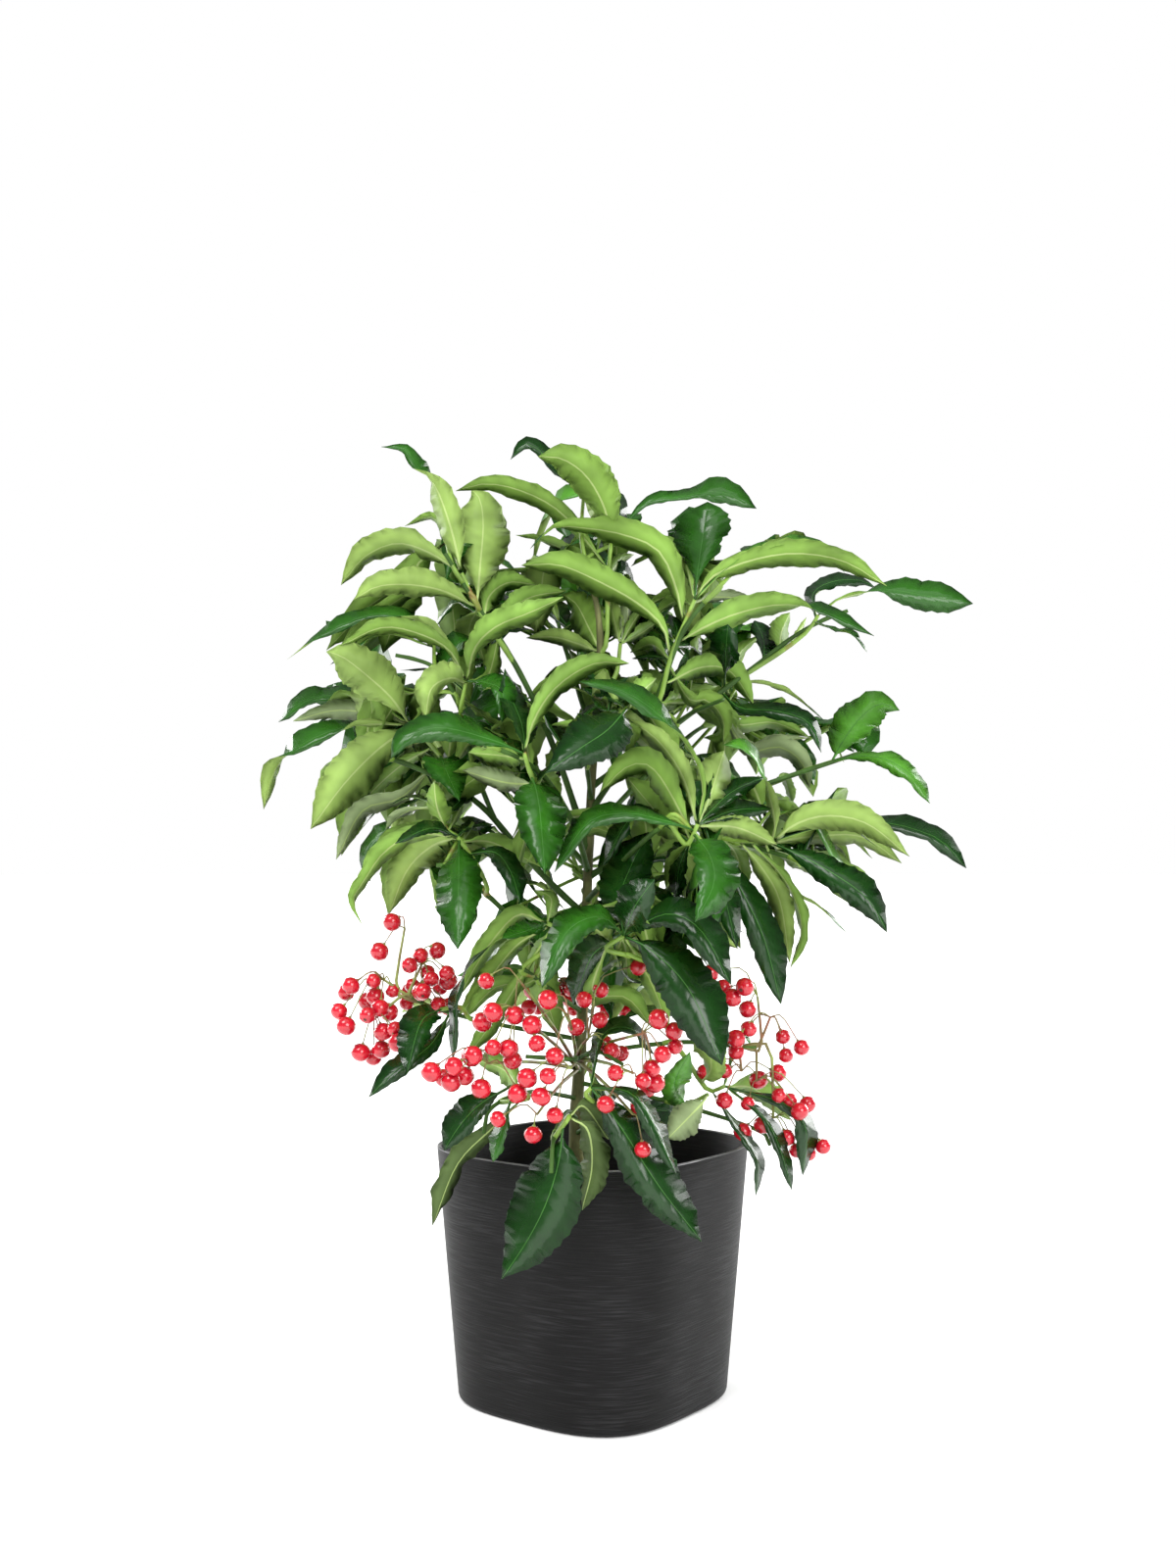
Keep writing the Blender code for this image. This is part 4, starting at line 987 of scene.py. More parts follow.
def photo_spine(leaf, way, rng):
    """The places and tangents of a leaf's midrib, and its top-side normals.

    A leaf that looks short in the photograph points towards the camera or away from it: towards it
    where it climbs and shows its underside, or falls and shows its top. One that hangs over the
    planter's rim keeps close to it.
    """
    base = nearest_to_pixel(way, leaf.way[0])
    scale = (base.y - CAMERA_PLACE.y) / FOCAL_PIXELS
    runs = [0.0]
    for (x0, y0), (x1, y1) in zip(leaf.way, leaf.way[1:]):
        runs.append(runs[-1] + math.hypot(x1 - x0, y1 - y0))
    seen = runs[-1] * scale
    hidden = min(math.sqrt(max(LEAF_LENGTH ** 2 - seen ** 2, 0.0)) * HIDDEN_SHARE, MOST_HIDDEN)
    if leaf.way[-1][1] > RIM_ROW:
        hidden *= 0.25
    if abs(leaf.back) >= 4:
        sign = math.copysign(1.0, leaf.back)
    else:
        climbs = leaf.way[-1][1] < leaf.way[0][1]
        sign = -1.0 if (along(leaf.show, 0.4) < 0.0) == climbs else 1.0
    reach = sign * hidden + leaf.back / 2000.0 + rng.uniform(-0.003, 0.003)
    tip_depth = min(max(base.y + reach, FRONT_LIMIT), BACK_LIMIT)
    points = [base]
    for pixel, run in zip(leaf.way[1:], runs[1:]):
        share = run / runs[-1]
        lower = (pixel[0], pixel[1] + TIP_DROP * share)
        reached = 1.0 - (1.0 - share) ** 1.8
        points.append(from_photo(lower, base.y + (tip_depth - base.y) * reached))
    places, tangents = spine_of(points, FINE_LEAF_RINGS)
    return places, tangents, camera_normals(places, tangents, leaf.show)


@lru_cache(maxsize=None)
def photo_leaves():
    """Every leaf that the photograph shows, with its shoot's bough and its place."""
    rng = Random(11)
    result = []
    for shoot in SHOOTS.values():
        way = shoot_way(shoot, limb_ways())
        for leaf in shoot.leaves:
            result.append((shoot.bough, leaf, *photo_spine(leaf, way, rng)))
    return result


def carrier_of(mass):
    if mass == MAIN_STEM_CARRIES:
        return "main_stem"
    return next(name for name, bough in BOUGHS.items() if bough.carries == mass)


def clamp_into(place, node, spare=0.0):
    """A place moved into a node's box, or up to a spare length outside it, but never out of the part's."""
    low, high = box_of(node)
    low = [max(low[axis] - spare, CAD_BOX[0][axis] - 0.004) for axis in range(3)]
    high = [min(high[axis] + spare, CAD_BOX[1][axis] + 0.002) for axis in range(3)]
    return Vector(min(max(place[axis], low[axis]), high[axis]) for axis in range(3))


def blade_marks(places, tangents, normals, width, widest, step, shares):
    """Places spread over a blade."""
    last = len(places) - 1
    marks = []
    for ring in range(0, last + 1, step):
        across = tangents[ring].cross(normals[ring])
        span = width * leaf_shape(ring / last, widest)
        marks.extend(places[ring] + across * (span * share) for share in shares)
    return marks


def cell_of(place):
    column, row = pixel_of(place)
    return int(column // COVER_CELL), int(row // COVER_CELL)


@lru_cache(maxsize=None)
def photo_cover():
    """The cells of the photograph that its own leaves or its planter cover, each with the depth in front."""
    cells = {
        (column, row): PLANTER_REAR
        for column in range(PLANTER_COLUMNS[0] // COVER_CELL, PLANTER_COLUMNS[1] // COVER_CELL)
        for row in range(PLANTER_ROWS[0] // COVER_CELL, PLANTER_ROWS[1] // COVER_CELL)
    }
    shares = (-0.46, -0.3, -0.15, 0.0, 0.15, 0.3, 0.46)
    for _, leaf, places, tangents, normals in photo_leaves():
        width = leaf.width * BLADE_SCALE
        for mark in blade_marks(places, tangents, normals, width, leaf.widest, 1, shares):
            cell = cell_of(mark)
            cells[cell] = min(cells.get(cell, mark.y), mark.y)
    return cells


def covered_share(marks):
    """The share of some places that stand behind the photograph's own leaves."""
    cover = photo_cover()
    return sum(cover.get(cell_of(mark), math.inf) < mark.y - COVER_GAP for mark in marks) / len(marks)


def grown_hubs(mass, growth, way, rng):
    """Where the growing rule ends its shoots, and the shoots' ways.

    Most end inside the mass. Every third one ends nearer the trunk, close to the limb itself.
    """
    middle, half = middle_and_half(mass)
    hubs = []
    for number in range(growth.shoots):
        inner = number % 3 == 2
        trials = []
        for _ in range(14):
            spread = [rng.uniform(-0.75, 0.75) for _ in range(3)]
            if growth.rear:
                spread[1] = abs(spread[1])
            if inner:
                place = way[int(len(way) * rng.uniform(0.40, 0.80))]
                hub = place + Vector(spread) * INNER_REACH + UP * 0.010
            else:
                hub = middle + Vector(spread[axis] * half[axis] for axis in range(3))
            shoot = grow_on(way, [hub])
            apart = min([(hub - other).length for other, *_ in hubs], default=0.04)
            trials.append((covered_share(shoot) + 8.0 * min(apart, 0.04), hub, shoot, inner))
        hubs.append(max(trials, key=lambda trial: trial[0])[1:])
    return hubs


def trial_leaf(mass, hub, shoot, spare, order, rng):
    """One try at a leaf of a whorl, arching out from the shoot's end: its spine, normals and width."""
    middle, _ = middle_and_half(mass)
    outwards = Vector((middle.x, middle.y, 0.0))
    outwards = outwards.normalized() if outwards.length > 0.02 else Vector((0.0, 0.0, 0.0))
    axis = ((hub - shoot[0]).normalized() * 0.6 + outwards * 0.5 + UP * 0.5).normalized()
    side = axis.cross(Vector((0.3, 0.9, 0.1))).normalized()
    other = axis.cross(side)
    around = order * GOLDEN_ANGLE + rng.uniform(-0.9, 0.9)
    tilt = math.radians(rng.uniform(40.0, 105.0))
    direction = (
        axis * math.cos(tilt)
        + (side * math.cos(around) + other * math.sin(around)) * math.sin(tilt)
    )
    base = hub - (hub - shoot[-2]).normalized() * (0.0016 * order)
    reach = rng.uniform(0.046, 0.080)
    knee = base + direction * (reach * 0.5) + UP * (reach * rng.uniform(0.06, 0.20))
    tip = clamp_into(base + direction * reach - UP * (reach * rng.uniform(0.05, 0.45)), mass, spare)
    knee = clamp_into(knee, mass, spare)
    places, tangents = spine_of([base, knee, tip], GROWN_LEAF_RINGS)
    normals = carried_normals(tangents, UP - outwards * 0.3, rng.uniform(-0.7, 0.7))
    width = min(max(reach * rng.uniform(0.30, 0.37), 0.015), 0.027)
    return places, tangents, normals, width


@lru_cache(maxsize=None)
def grown_crown():
    """For each mass, the shoots that the growing rule adds to its limb, and the whorl of leaves on each.

    Of several tries at each leaf, the one that keeps best behind the photograph's own leaves is
    kept, so that the crown fills in depth and stays open where the photograph shows the sky.
    """
    crown = {}
    for mass, growth in GROWTH.items():
        rng = Random(mass)
        whorls = []
        for hub, shoot, inner in grown_hubs(mass, growth, limb_ways()[carrier_of(mass)], rng):
            spare = 0.080 if inner else 0.016
            leaves = []
            for order in range(round(growth.leaves / growth.shoots)):
                trials = [trial_leaf(mass, hub, shoot, spare, order, rng) for _ in range(LEAF_TRIES)]
                widest = rng.uniform(0.46, 0.60)
                dress = growth.dress if rng.random() < 0.6 else rng.choice(("dark", "mid", "pale", "fresh"))
                shares = [
                    covered_share(blade_marks(*trial, widest, 2, (-0.4, 0.0, 0.4))) for trial in trials
                ]
                best = max(range(LEAF_TRIES), key=lambda number: shares[number])
                if shares[best] >= LEAST_COVER:
                    leaves.append((*trials[best], widest, dress))
            if len(leaves) >= FEWEST_LEAVES:
                whorls.append((shoot, leaves))
        crown[mass] = whorls
    return crown


class Finish:
    """A Principled material and the nodes that drive it."""

    def __init__(self, name, colour, roughness):
        self.material = bpy.data.materials.new(name)
        self.material.use_nodes = True
        self.nodes = self.material.node_tree.nodes
        self.links = self.material.node_tree.links
        self.shader = self.nodes["Principled BSDF"]
        self.shader.inputs["Base Color"].default_value = (*colour, 1.0)
        self.shader.inputs["Roughness"].default_value = roughness
        self.coords = self.nodes.new("ShaderNodeTexCoord")

    def place(self, scale, output="Object"):
        mapping = self.nodes.new("ShaderNodeMapping")
        mapping.inputs["Scale"].default_value = scale
        self.links.new(self.coords.outputs[output], mapping.inputs["Vector"])
        return mapping.outputs["Vector"]

    def noise(self, scale, detail=3.0, stretch=(1.0, 1.0, 1.0)):
        texture = self.nodes.new("ShaderNodeTexNoise")
        texture.inputs["Scale"].default_value = scale
        texture.inputs["Detail"].default_value = detail
        self.links.new(self.place(stretch), texture.inputs["Vector"])
        return texture.outputs["Fac"]

    def ramp(self, factor, *stops):
        ramp = self.nodes.new("ShaderNodeValToRGB")
        elements = ramp.color_ramp.elements
        while len(elements) < len(stops):
            elements.new(0.5)
        for element, (position, colour) in zip(elements, stops):
            element.position = position
            element.color = (*colour, 1.0)
        self.links.new(factor, ramp.inputs["Fac"])
        return ramp.outputs["Color"]

    def math(self, operation, *values):
        node = self.nodes.new("ShaderNodeMath")
        node.operation = operation
        for socket, value in zip(node.inputs, values):
            if isinstance(value, (int, float)):
                socket.default_value = value
            else:
                self.links.new(value, socket)
        return node.outputs[0]

    def side_veins(self, pairs):
        """Swellings between a blade's side veins, which run slantwise from the midrib to the margin."""
        split = self.nodes.new("ShaderNodeSeparateXYZ")
        self.links.new(self.coords.outputs["UV"], split.inputs[0])
        out = self.math("ABSOLUTE", self.math("SUBTRACT", split.outputs[0], 0.5))
        run = self.math("SUBTRACT", self.math("MULTIPLY", split.outputs[1], float(pairs)), self.math(
            "MULTIPLY", out, 3.2,
        ))
        return self.math("ABSOLUTE", self.math("SINE", self.math("MULTIPLY", run, math.pi)))

    def spread(self, factor, low, high):
        remap = self.nodes.new("ShaderNodeMapRange")
        remap.inputs["To Min"].default_value = low
        remap.inputs["To Max"].default_value = high
        self.links.new(factor, remap.inputs["Value"])
        return remap.outputs["Result"]

    def bump(self, height, distance, strength=1.0):
        bump = self.nodes.new("ShaderNodeBump")
        bump.inputs["Distance"].default_value = distance
        bump.inputs["Strength"].default_value = strength
        self.links.new(height, bump.inputs["Height"])
        self.links.new(bump.outputs["Normal"], self.shader.inputs["Normal"])

    def drive(self, output, name):
        self.links.new(output, self.shader.inputs[name])

    def hold(self, name, value):
        self.shader.inputs[name].default_value = value


def shade(colour, factor):
    return tuple(min(part * factor, 1.0) for part in colour)


def leaf_finish(name, colour, roughness, gloss):
    """Leaf skin: slow drifts of tone, a fine pebbled relief and a gloss of its own."""
    finish = Finish(name, colour, roughness)
    drift = finish.noise(55.0, 2.0)
    finish.drive(finish.ramp(drift, (0.3, shade(colour, 0.72)), (0.7, shade(colour, 1.22))), "Base Color")
    finish.drive(finish.spread(finish.noise(90.0, 2.0), roughness * 0.7, roughness * 1.3), "Roughness")
    finish.hold("Specular IOR Level", gloss)
    pebbles = finish.math("MULTIPLY", finish.noise(420.0, 2.0), 0.45)
    finish.bump(finish.math("ADD", pebbles, finish.side_veins(11)), 0.00030, 0.30)
    return finish.material


def leaf_finishes():
    leaf = bpy.context.scene.berry_leaf
    looks = {
        "leaf_top_dark": (leaf.top_dark, 0.25, 0.42), "leaf_top_mid": (leaf.top_mid, 0.26, 0.42),
        "leaf_top_fresh": (leaf.top_fresh, 0.29, 0.45), "leaf_under_pale": (leaf.under_pale, 0.50, 0.15),
        "leaf_under_mid": (leaf.under_mid, 0.50, 0.15), "leaf_under_olive": (leaf.under_olive, 0.50, 0.12),
        "leaf_under_grey": (leaf.under_grey, 0.50, 0.15), "leaf_under_shaded": (leaf.under_shaded, 0.50, 0.12),
        "leaf_rib_top": (leaf.rib_top, 0.40, 0.25), "leaf_rib_under": (leaf.rib_under, 0.45, 0.15),
    }
    return [leaf_finish(name, looks[name][0][:], *looks[name][1:]) for name in LEAF_FINISHES]


def colour_property(name, description, colour):
    return bpy.props.FloatVectorProperty(
        name=name, description=description, subtype="COLOR", size=3, min=0.0, max=1.0, default=colour,
    )


def length_property(name, description, length):
    return bpy.props.FloatProperty(
        name=name, description=description, unit="LENGTH", min=0.0, precision=5, default=length,
    )


class BerryLeafSettings(bpy.types.PropertyGroup):
    """Sizes and colours of the leaves"""

    petiole_length: length_property("Petiole length", "Length of the bare stalk of a leaf", 0.007)
    petiole_width: length_property("Petiole width", "Thickness of the bare stalk of a leaf", 0.0014)
    thickness: length_property("Thickness", "Thickness of a blade", 0.0004)
    rib_width: length_property("Rib width", "Width of the midrib beneath, at its base", 0.0013)
    tooth_depth: bpy.props.FloatProperty(
        name="Tooth depth", description="Depth of the scallops in a leaf's margin, as a share of its width",
        min=0.0, max=0.5, default=0.075,
    )
    ruffle: bpy.props.FloatProperty(
        name="Ruffle", description="How far a leaf's margin waves up and down, as a share of its width",
        min=0.0, max=0.5, default=0.05,
    )
    top_dark: colour_property("Dark top", "Upper side of an old leaf", (0.0060, 0.039, 0.0040))
    top_mid: colour_property("Middle top", "Upper side of a grown leaf", (0.019, 0.098, 0.0065))
    top_fresh: colour_property("Fresh top", "Upper side of a young leaf", (0.060, 0.215, 0.016))
    under_pale: colour_property("Pale underside", "Underside of a leaf with light through it", (0.240, 0.362, 0.086))
    under_mid: colour_property("Middle underside", "Underside of a grown leaf", (0.172, 0.300, 0.052))
    under_grey: colour_property("Grey underside", "Underside of a leaf seen against the light", (0.235, 0.310, 0.142))
    under_shaded: colour_property("Shaded underside", "Underside of a leaf deep in shade", (0.078, 0.121, 0.038))
    under_olive: colour_property("Olive underside", "Underside of a shaded leaf", (0.200, 0.350, 0.066))
    rib_top: colour_property("Rib on top", "Midrib on the upper side", (0.040, 0.140, 0.022))
    rib_under: colour_property("Rib beneath", "Midrib on the underside", (0.36, 0.47, 0.165))


class BerryFruitSettings(bpy.types.PropertyGroup):
    """Sizes and colours of the fruit"""

    radius: length_property("Berry radius", "Radius of a ripe berry", 0.0047)
    stalk_radius: length_property("Stalk radius", "Radius of a fruit stalk", 0.00038)
    colour: colour_property("Berry", "Skin of a ripe berry", (0.50, 0.0050, 0.019))
    stalk_colour: colour_property("Stalk", "Fruit stalk", (0.24, 0.31, 0.07))
    eye_colour: colour_property("Eye", "Dry dot at the end of a berry", (0.10, 0.02, 0.015))


class BerryLimbSettings(bpy.types.PropertyGroup):
    """Colours of the stem, the boughs and the green shoots"""

    bark_colour: colour_property("Bark", "Old bark of the main stem", (0.105, 0.110, 0.042))
    bough_colour: colour_property("Bough", "Green bark of the boughs", (0.050, 0.115, 0.020))
    shoot_colour: colour_property("Shoot", "Skin of the youngest shoots", (0.22, 0.38, 0.05))


class BerryPlanterSettings(bpy.types.PropertyGroup):
    """Colours of the planter and the soil"""

    colour: colour_property("Planter", "Moulded plastic of the planter", (0.0028, 0.0028, 0.0030))
    # The lip colour is a painted highlight: light caught along the top of the rim.
    lip_highlight_colour: colour_property("Lip", "Painted highlight on the planter's rim", (0.125, 0.125, 0.130))
    # The inside colour is painted shade: a near-black copy of the plastic for the shaded inside of the planter.
    inside_shade_colour: colour_property("Inside", "Inside of the planter", (0.005, 0.005, 0.0052))
    soil_colour: colour_property("Soil", "Potting soil", (0.030, 0.020, 0.013))


class BerryStageSettings(bpy.types.PropertyGroup):
    """The floor and the light"""

    floor_colour: colour_property("Floor", "The pale floor under the planter", (0.93, 0.93, 0.93))
    sky_strength: bpy.props.FloatProperty(
        name="Sky", description="Strength of the even light from all round", min=0.0, default=1.05,
    )
    mirrored_strength: bpy.props.FloatProperty(
        name="Mirrored sky", description="Strength of that light where it is mirrored", min=0.0, default=0.22,
    )
    key_strength: bpy.props.FloatProperty(
        name="Key light", description="Strength of the main lamp", min=0.0, default=1.5,
    )
    fill_strength: bpy.props.FloatProperty(
        name="Fill light", description="Strength of the softer lamp from the front", min=0.0, default=1.6,
    )
    top_strength: bpy.props.FloatProperty(
        name="Top light", description="Strength of the broad lamp overhead", min=0.0, default=0.50,
    )
    rim_strength: bpy.props.FloatProperty(
        name="Rim light", description="Strength of each of the two lamps from behind", min=0.0, default=2.0,
    )


def ring_radius(half, squareness, angle):
    spread = abs(math.cos(angle)) ** squareness + abs(math.sin(angle)) ** squareness
    return half * spread ** (-1.0 / squareness)


def pot_plan(height):
    share = height / POT_HEIGHT
    half = POT_FOOT_HALF + (POT_RIM_HALF - POT_FOOT_HALF) * share
    return half, POT_FOOT_SQUARENESS + (POT_RIM_SQUARENESS - POT_FOOT_SQUARENESS) * share


def set_ring(verts, inset, height):
    """Move a ring of vertices to the planter's plan at a height, in from its wall."""
    half, squareness = pot_plan(height)
    for vert in verts:
        angle = math.atan2(vert.co.y, vert.co.x)
        radius = ring_radius(half - inset, squareness, angle - POT_TURN)
        vert.co = Vector((radius * math.cos(angle), radius * math.sin(angle), height))


def raise_ring(bm, edges, inset, height):
    grown = bmesh.ops.extrude_edge_only(bm, edges=edges)["geom"]
    set_ring([item for item in grown if isinstance(item, bmesh.types.BMVert)], inset, height)
    return [item for item in grown if isinstance(item, bmesh.types.BMEdge)]


def end_piece(piece_mesh, name, slot, *nodes):
    piece = bpy.data.objects.new(name, piece_mesh)
    bpy.context.scene.collection.objects.link(piece)
    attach(piece, ROOT)
    if nodes:
        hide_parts(*nodes)
    return piece


def brushed_and_sheen_plastic(name, colour, streak):
    """Dark plastic brushed round and round: short fine streaks, thicker in some patches than in others. The lighter
    streaks in its colour are partly brush grain and partly painted sheen.
    """
    finish = Finish(name, colour, 0.45)
    fine = finish.noise(1.0, 3.0, (55.0, 55.0, 1700.0))
    patch = finish.spread(finish.noise(26.0, 2.0), 0.30, 0.70)
    mix = finish.nodes.new("ShaderNodeMath")
    mix.operation = "MULTIPLY"
    finish.links.new(fine, mix.inputs[0])
    finish.links.new(patch, mix.inputs[1])
    low = shade(colour, 1.0 - 0.6 * streak)
    # The lighter streak tone is partly brush grain and partly painted sheen.
    high = shade(colour, 1.0 + 4.0 * streak)
    finish.drive(finish.ramp(mix.outputs[0], (0.19, low), (0.26, colour), (0.38, high)), "Base Color")
    finish.drive(finish.spread(mix.outputs[0], 0.60, 0.34), "Roughness")
    finish.hold("Specular IOR Level", 0.20)
    finish.bump(mix.outputs[0], 0.0006 * streak, 0.8)
    return finish.material


class BERRY_OT_planter(bpy.types.Operator):
    """Make the planter: a rounded-square bucket with a rolled foot and a thin lip"""

    bl_idname = "berry.planter"
    bl_label = "Planter"

    def execute(self, context):
        settings = context.scene.berry_planter
        bm = bmesh.new()
        bmesh.ops.create_circle(bm, segments=POT_SIDES, radius=1.0)
        ring = bm.edges[:]
        foot_round = 0.003
        lip_round = 0.0005
        inner_foot = 0.0022
        rows = [(foot_round, 0.0)]
        for step in range(1, 5):
            angle = math.pi / 2.0 * step / 4
            rows.append((foot_round * (1.0 - math.sin(angle)), foot_round * (1.0 - math.cos(angle))))
        rows += [(0.0, POT_HEIGHT * share) for share in (0.2, 0.4, 0.6, 0.8)]
        for step in range(4):
            angle = math.pi / 2.0 * step / 3
            rows.append((lip_round * (1.0 - math.cos(angle)), POT_HEIGHT - lip_round * (1.0 - math.sin(angle))))
        for step in range(4):
            angle = math.pi / 2.0 * step / 3
            inset = POT_WALL - lip_round * (1.0 - math.sin(angle))
            rows.append((inset, POT_HEIGHT - lip_round * (1.0 - math.cos(angle))))
        rows += [(POT_WALL, POT_HEIGHT * share) for share in (0.7, 0.4)]
        rows += [(POT_WALL, inner_foot + 0.003), (POT_WALL + 0.003, inner_foot)]
        set_ring(bm.verts[:], *rows[0])
        bottom = ring
        for inset, height in rows[1:]:
            ring = raise_ring(bm, ring, inset, height)
        bmesh.ops.holes_fill(bm, edges=bottom, sides=POT_SIDES)
        bmesh.ops.holes_fill(bm, edges=ring, sides=POT_SIDES)
        bmesh.ops.recalc_face_normals(bm, faces=bm.faces[:])
        for face in bm.faces:
            face.smooth = len(face.verts) == 4
            middle = face.calc_center_median()
            out = Vector((middle.x, middle.y, 0.0))
            if middle.z > POT_HEIGHT - lip_round * 1.2:
                # The rim's top faces take the lip finish, a painted highlight.
                face.material_index = 1
            elif out.length > 0.01 and face.normal.dot(out) < 0.0 or middle.z > 0.001 and len(face.verts) > 4:
                # Faces that look inwards and the inner floor take the inside finish, painted shade.
                face.material_index = 2
        mesh = mesh_of("planter", bm)
        for name, colour, streak in (
            ("planter_plastic", settings.colour[:], 1.0),
            ("planter_lip_highlight", settings.lip_highlight_colour[:], 0.6),
            ("planter_inside_shade", settings.inside_shade_colour[:], 0.5),
        ):
            mesh.materials.append(brushed_and_sheen_plastic(name, colour, streak))
        end_piece(mesh, "planter", "pot", "pot")
        return {"FINISHED"}


class BERRY_OT_soil(bpy.types.Operator):
    """Make the soil: an uneven bed inside the planter, strewn with crumbs"""

    bl_idname = "berry.soil"
    bl_label = "Soil"

    def execute(self, context):
        settings = context.scene.berry_planter
        bm = bmesh.new()
        bmesh.ops.create_circle(bm, segments=POT_SIDES, radius=1.0)
        ring = bm.edges[:]
        wall = POT_WALL + 0.0004
        set_ring(bm.verts[:], wall + 0.003, 0.0025)
        foot = ring
        for inset, height in ((wall, 0.006), (wall, SOIL_TOP - 0.002)):
            ring = raise_ring(bm, ring, inset, height)
        for step in range(1, 24):
            ring = raise_ring(bm, ring, wall + 0.0028 * step, SOIL_TOP - 0.002)
        bmesh.ops.holes_fill(bm, edges=foot, sides=POT_SIDES)
        bmesh.ops.holes_fill(bm, edges=ring, sides=POT_SIDES)
        bmesh.ops.recalc_face_normals(bm, faces=bm.faces[:])
        for vert in bm.verts:
            if vert.co.z > SOIL_TOP - 0.003:
                relief = noise.fractal(vert.co * 120.0, 1.0, 2.0, 4)
                vert.co.z += min(max(relief * 0.003, -0.0022), 0.002)
        for face in bm.faces:
            face.smooth = True
        mesh = mesh_of("soil_bed", bm)
        colour = settings.soil_colour[:]
        finish = Finish("soil_crumb", colour, 0.95)
        grain = finish.noise(420.0, 6.0)
        finish.drive(
            finish.ramp(grain, (0.35, shade(colour, 0.5)), (0.55, colour), (0.75, shade(colour, 3.2))), "Base Color",
        )
        finish.bump(grain, 0.002, 0.8)
        mesh.materials.append(finish.material)
        end_piece(mesh, "soil_bed", "soil", "soil")
        crumb = bmesh.new()
        bmesh.ops.create_icosphere(crumb, subdivisions=1, radius=1.0)
        crumb_mesh = mesh_of("crumb_pattern", crumb)
        rng = Random(7)
        sheaf = Sheaf()
        for _ in range(620):
            angle = rng.uniform(0.0, math.tau)
            half, squareness = pot_plan(SOIL_TOP)
            radius = ring_radius(half - 0.006, squareness, angle - POT_TURN) * math.sqrt(rng.random())
            centre = Vector((radius * math.cos(angle), radius * math.sin(angle), SOIL_TOP - 0.0015))
            size = rng.uniform(0.0006, 0.0021)
            stretch = Vector((rng.uniform(0.7, 1.4), rng.uniform(0.7, 1.4), rng.uniform(0.5, 1.0)))
            seed = Vector((rng.uniform(0, 99), rng.uniform(0, 99), rng.uniform(0, 99)))

            def place(co, centre=centre, size=size, stretch=stretch, seed=seed):
                lump = 1.0 + 0.35 * noise.noise(co * 1.3 + seed)
                return centre + Vector(co[axis] * stretch[axis] * size * lump for axis in range(3))

            sheaf.lay(crumb_mesh, place)
        sheaf.finish("soil_crumbs", [finish.material], "soil")
        return {"FINISHED"}


def limb_radii(count, base_radius, tip_radius):
    return [base_radius + (tip_radius - base_radius) * step / (count - 1) for step in range(count)]


def bark_relief(seed, coarse, knots):
    """How a limb's radius varies round and along it: lumps, and a swelling at each old leaf scar."""
    def relief(ring, angle):
        place = Vector((math.cos(angle) * 1.3, math.sin(angle) * 1.3, ring * 0.35)) + Vector((seed, 0, 0))
        lump = noise.noise(place) * coarse
        knot = math.exp(-((ring % knots) - knots / 2.0) ** 2 / 1.2) * 0.12
        return 1.0 + lump + knot
    return relief


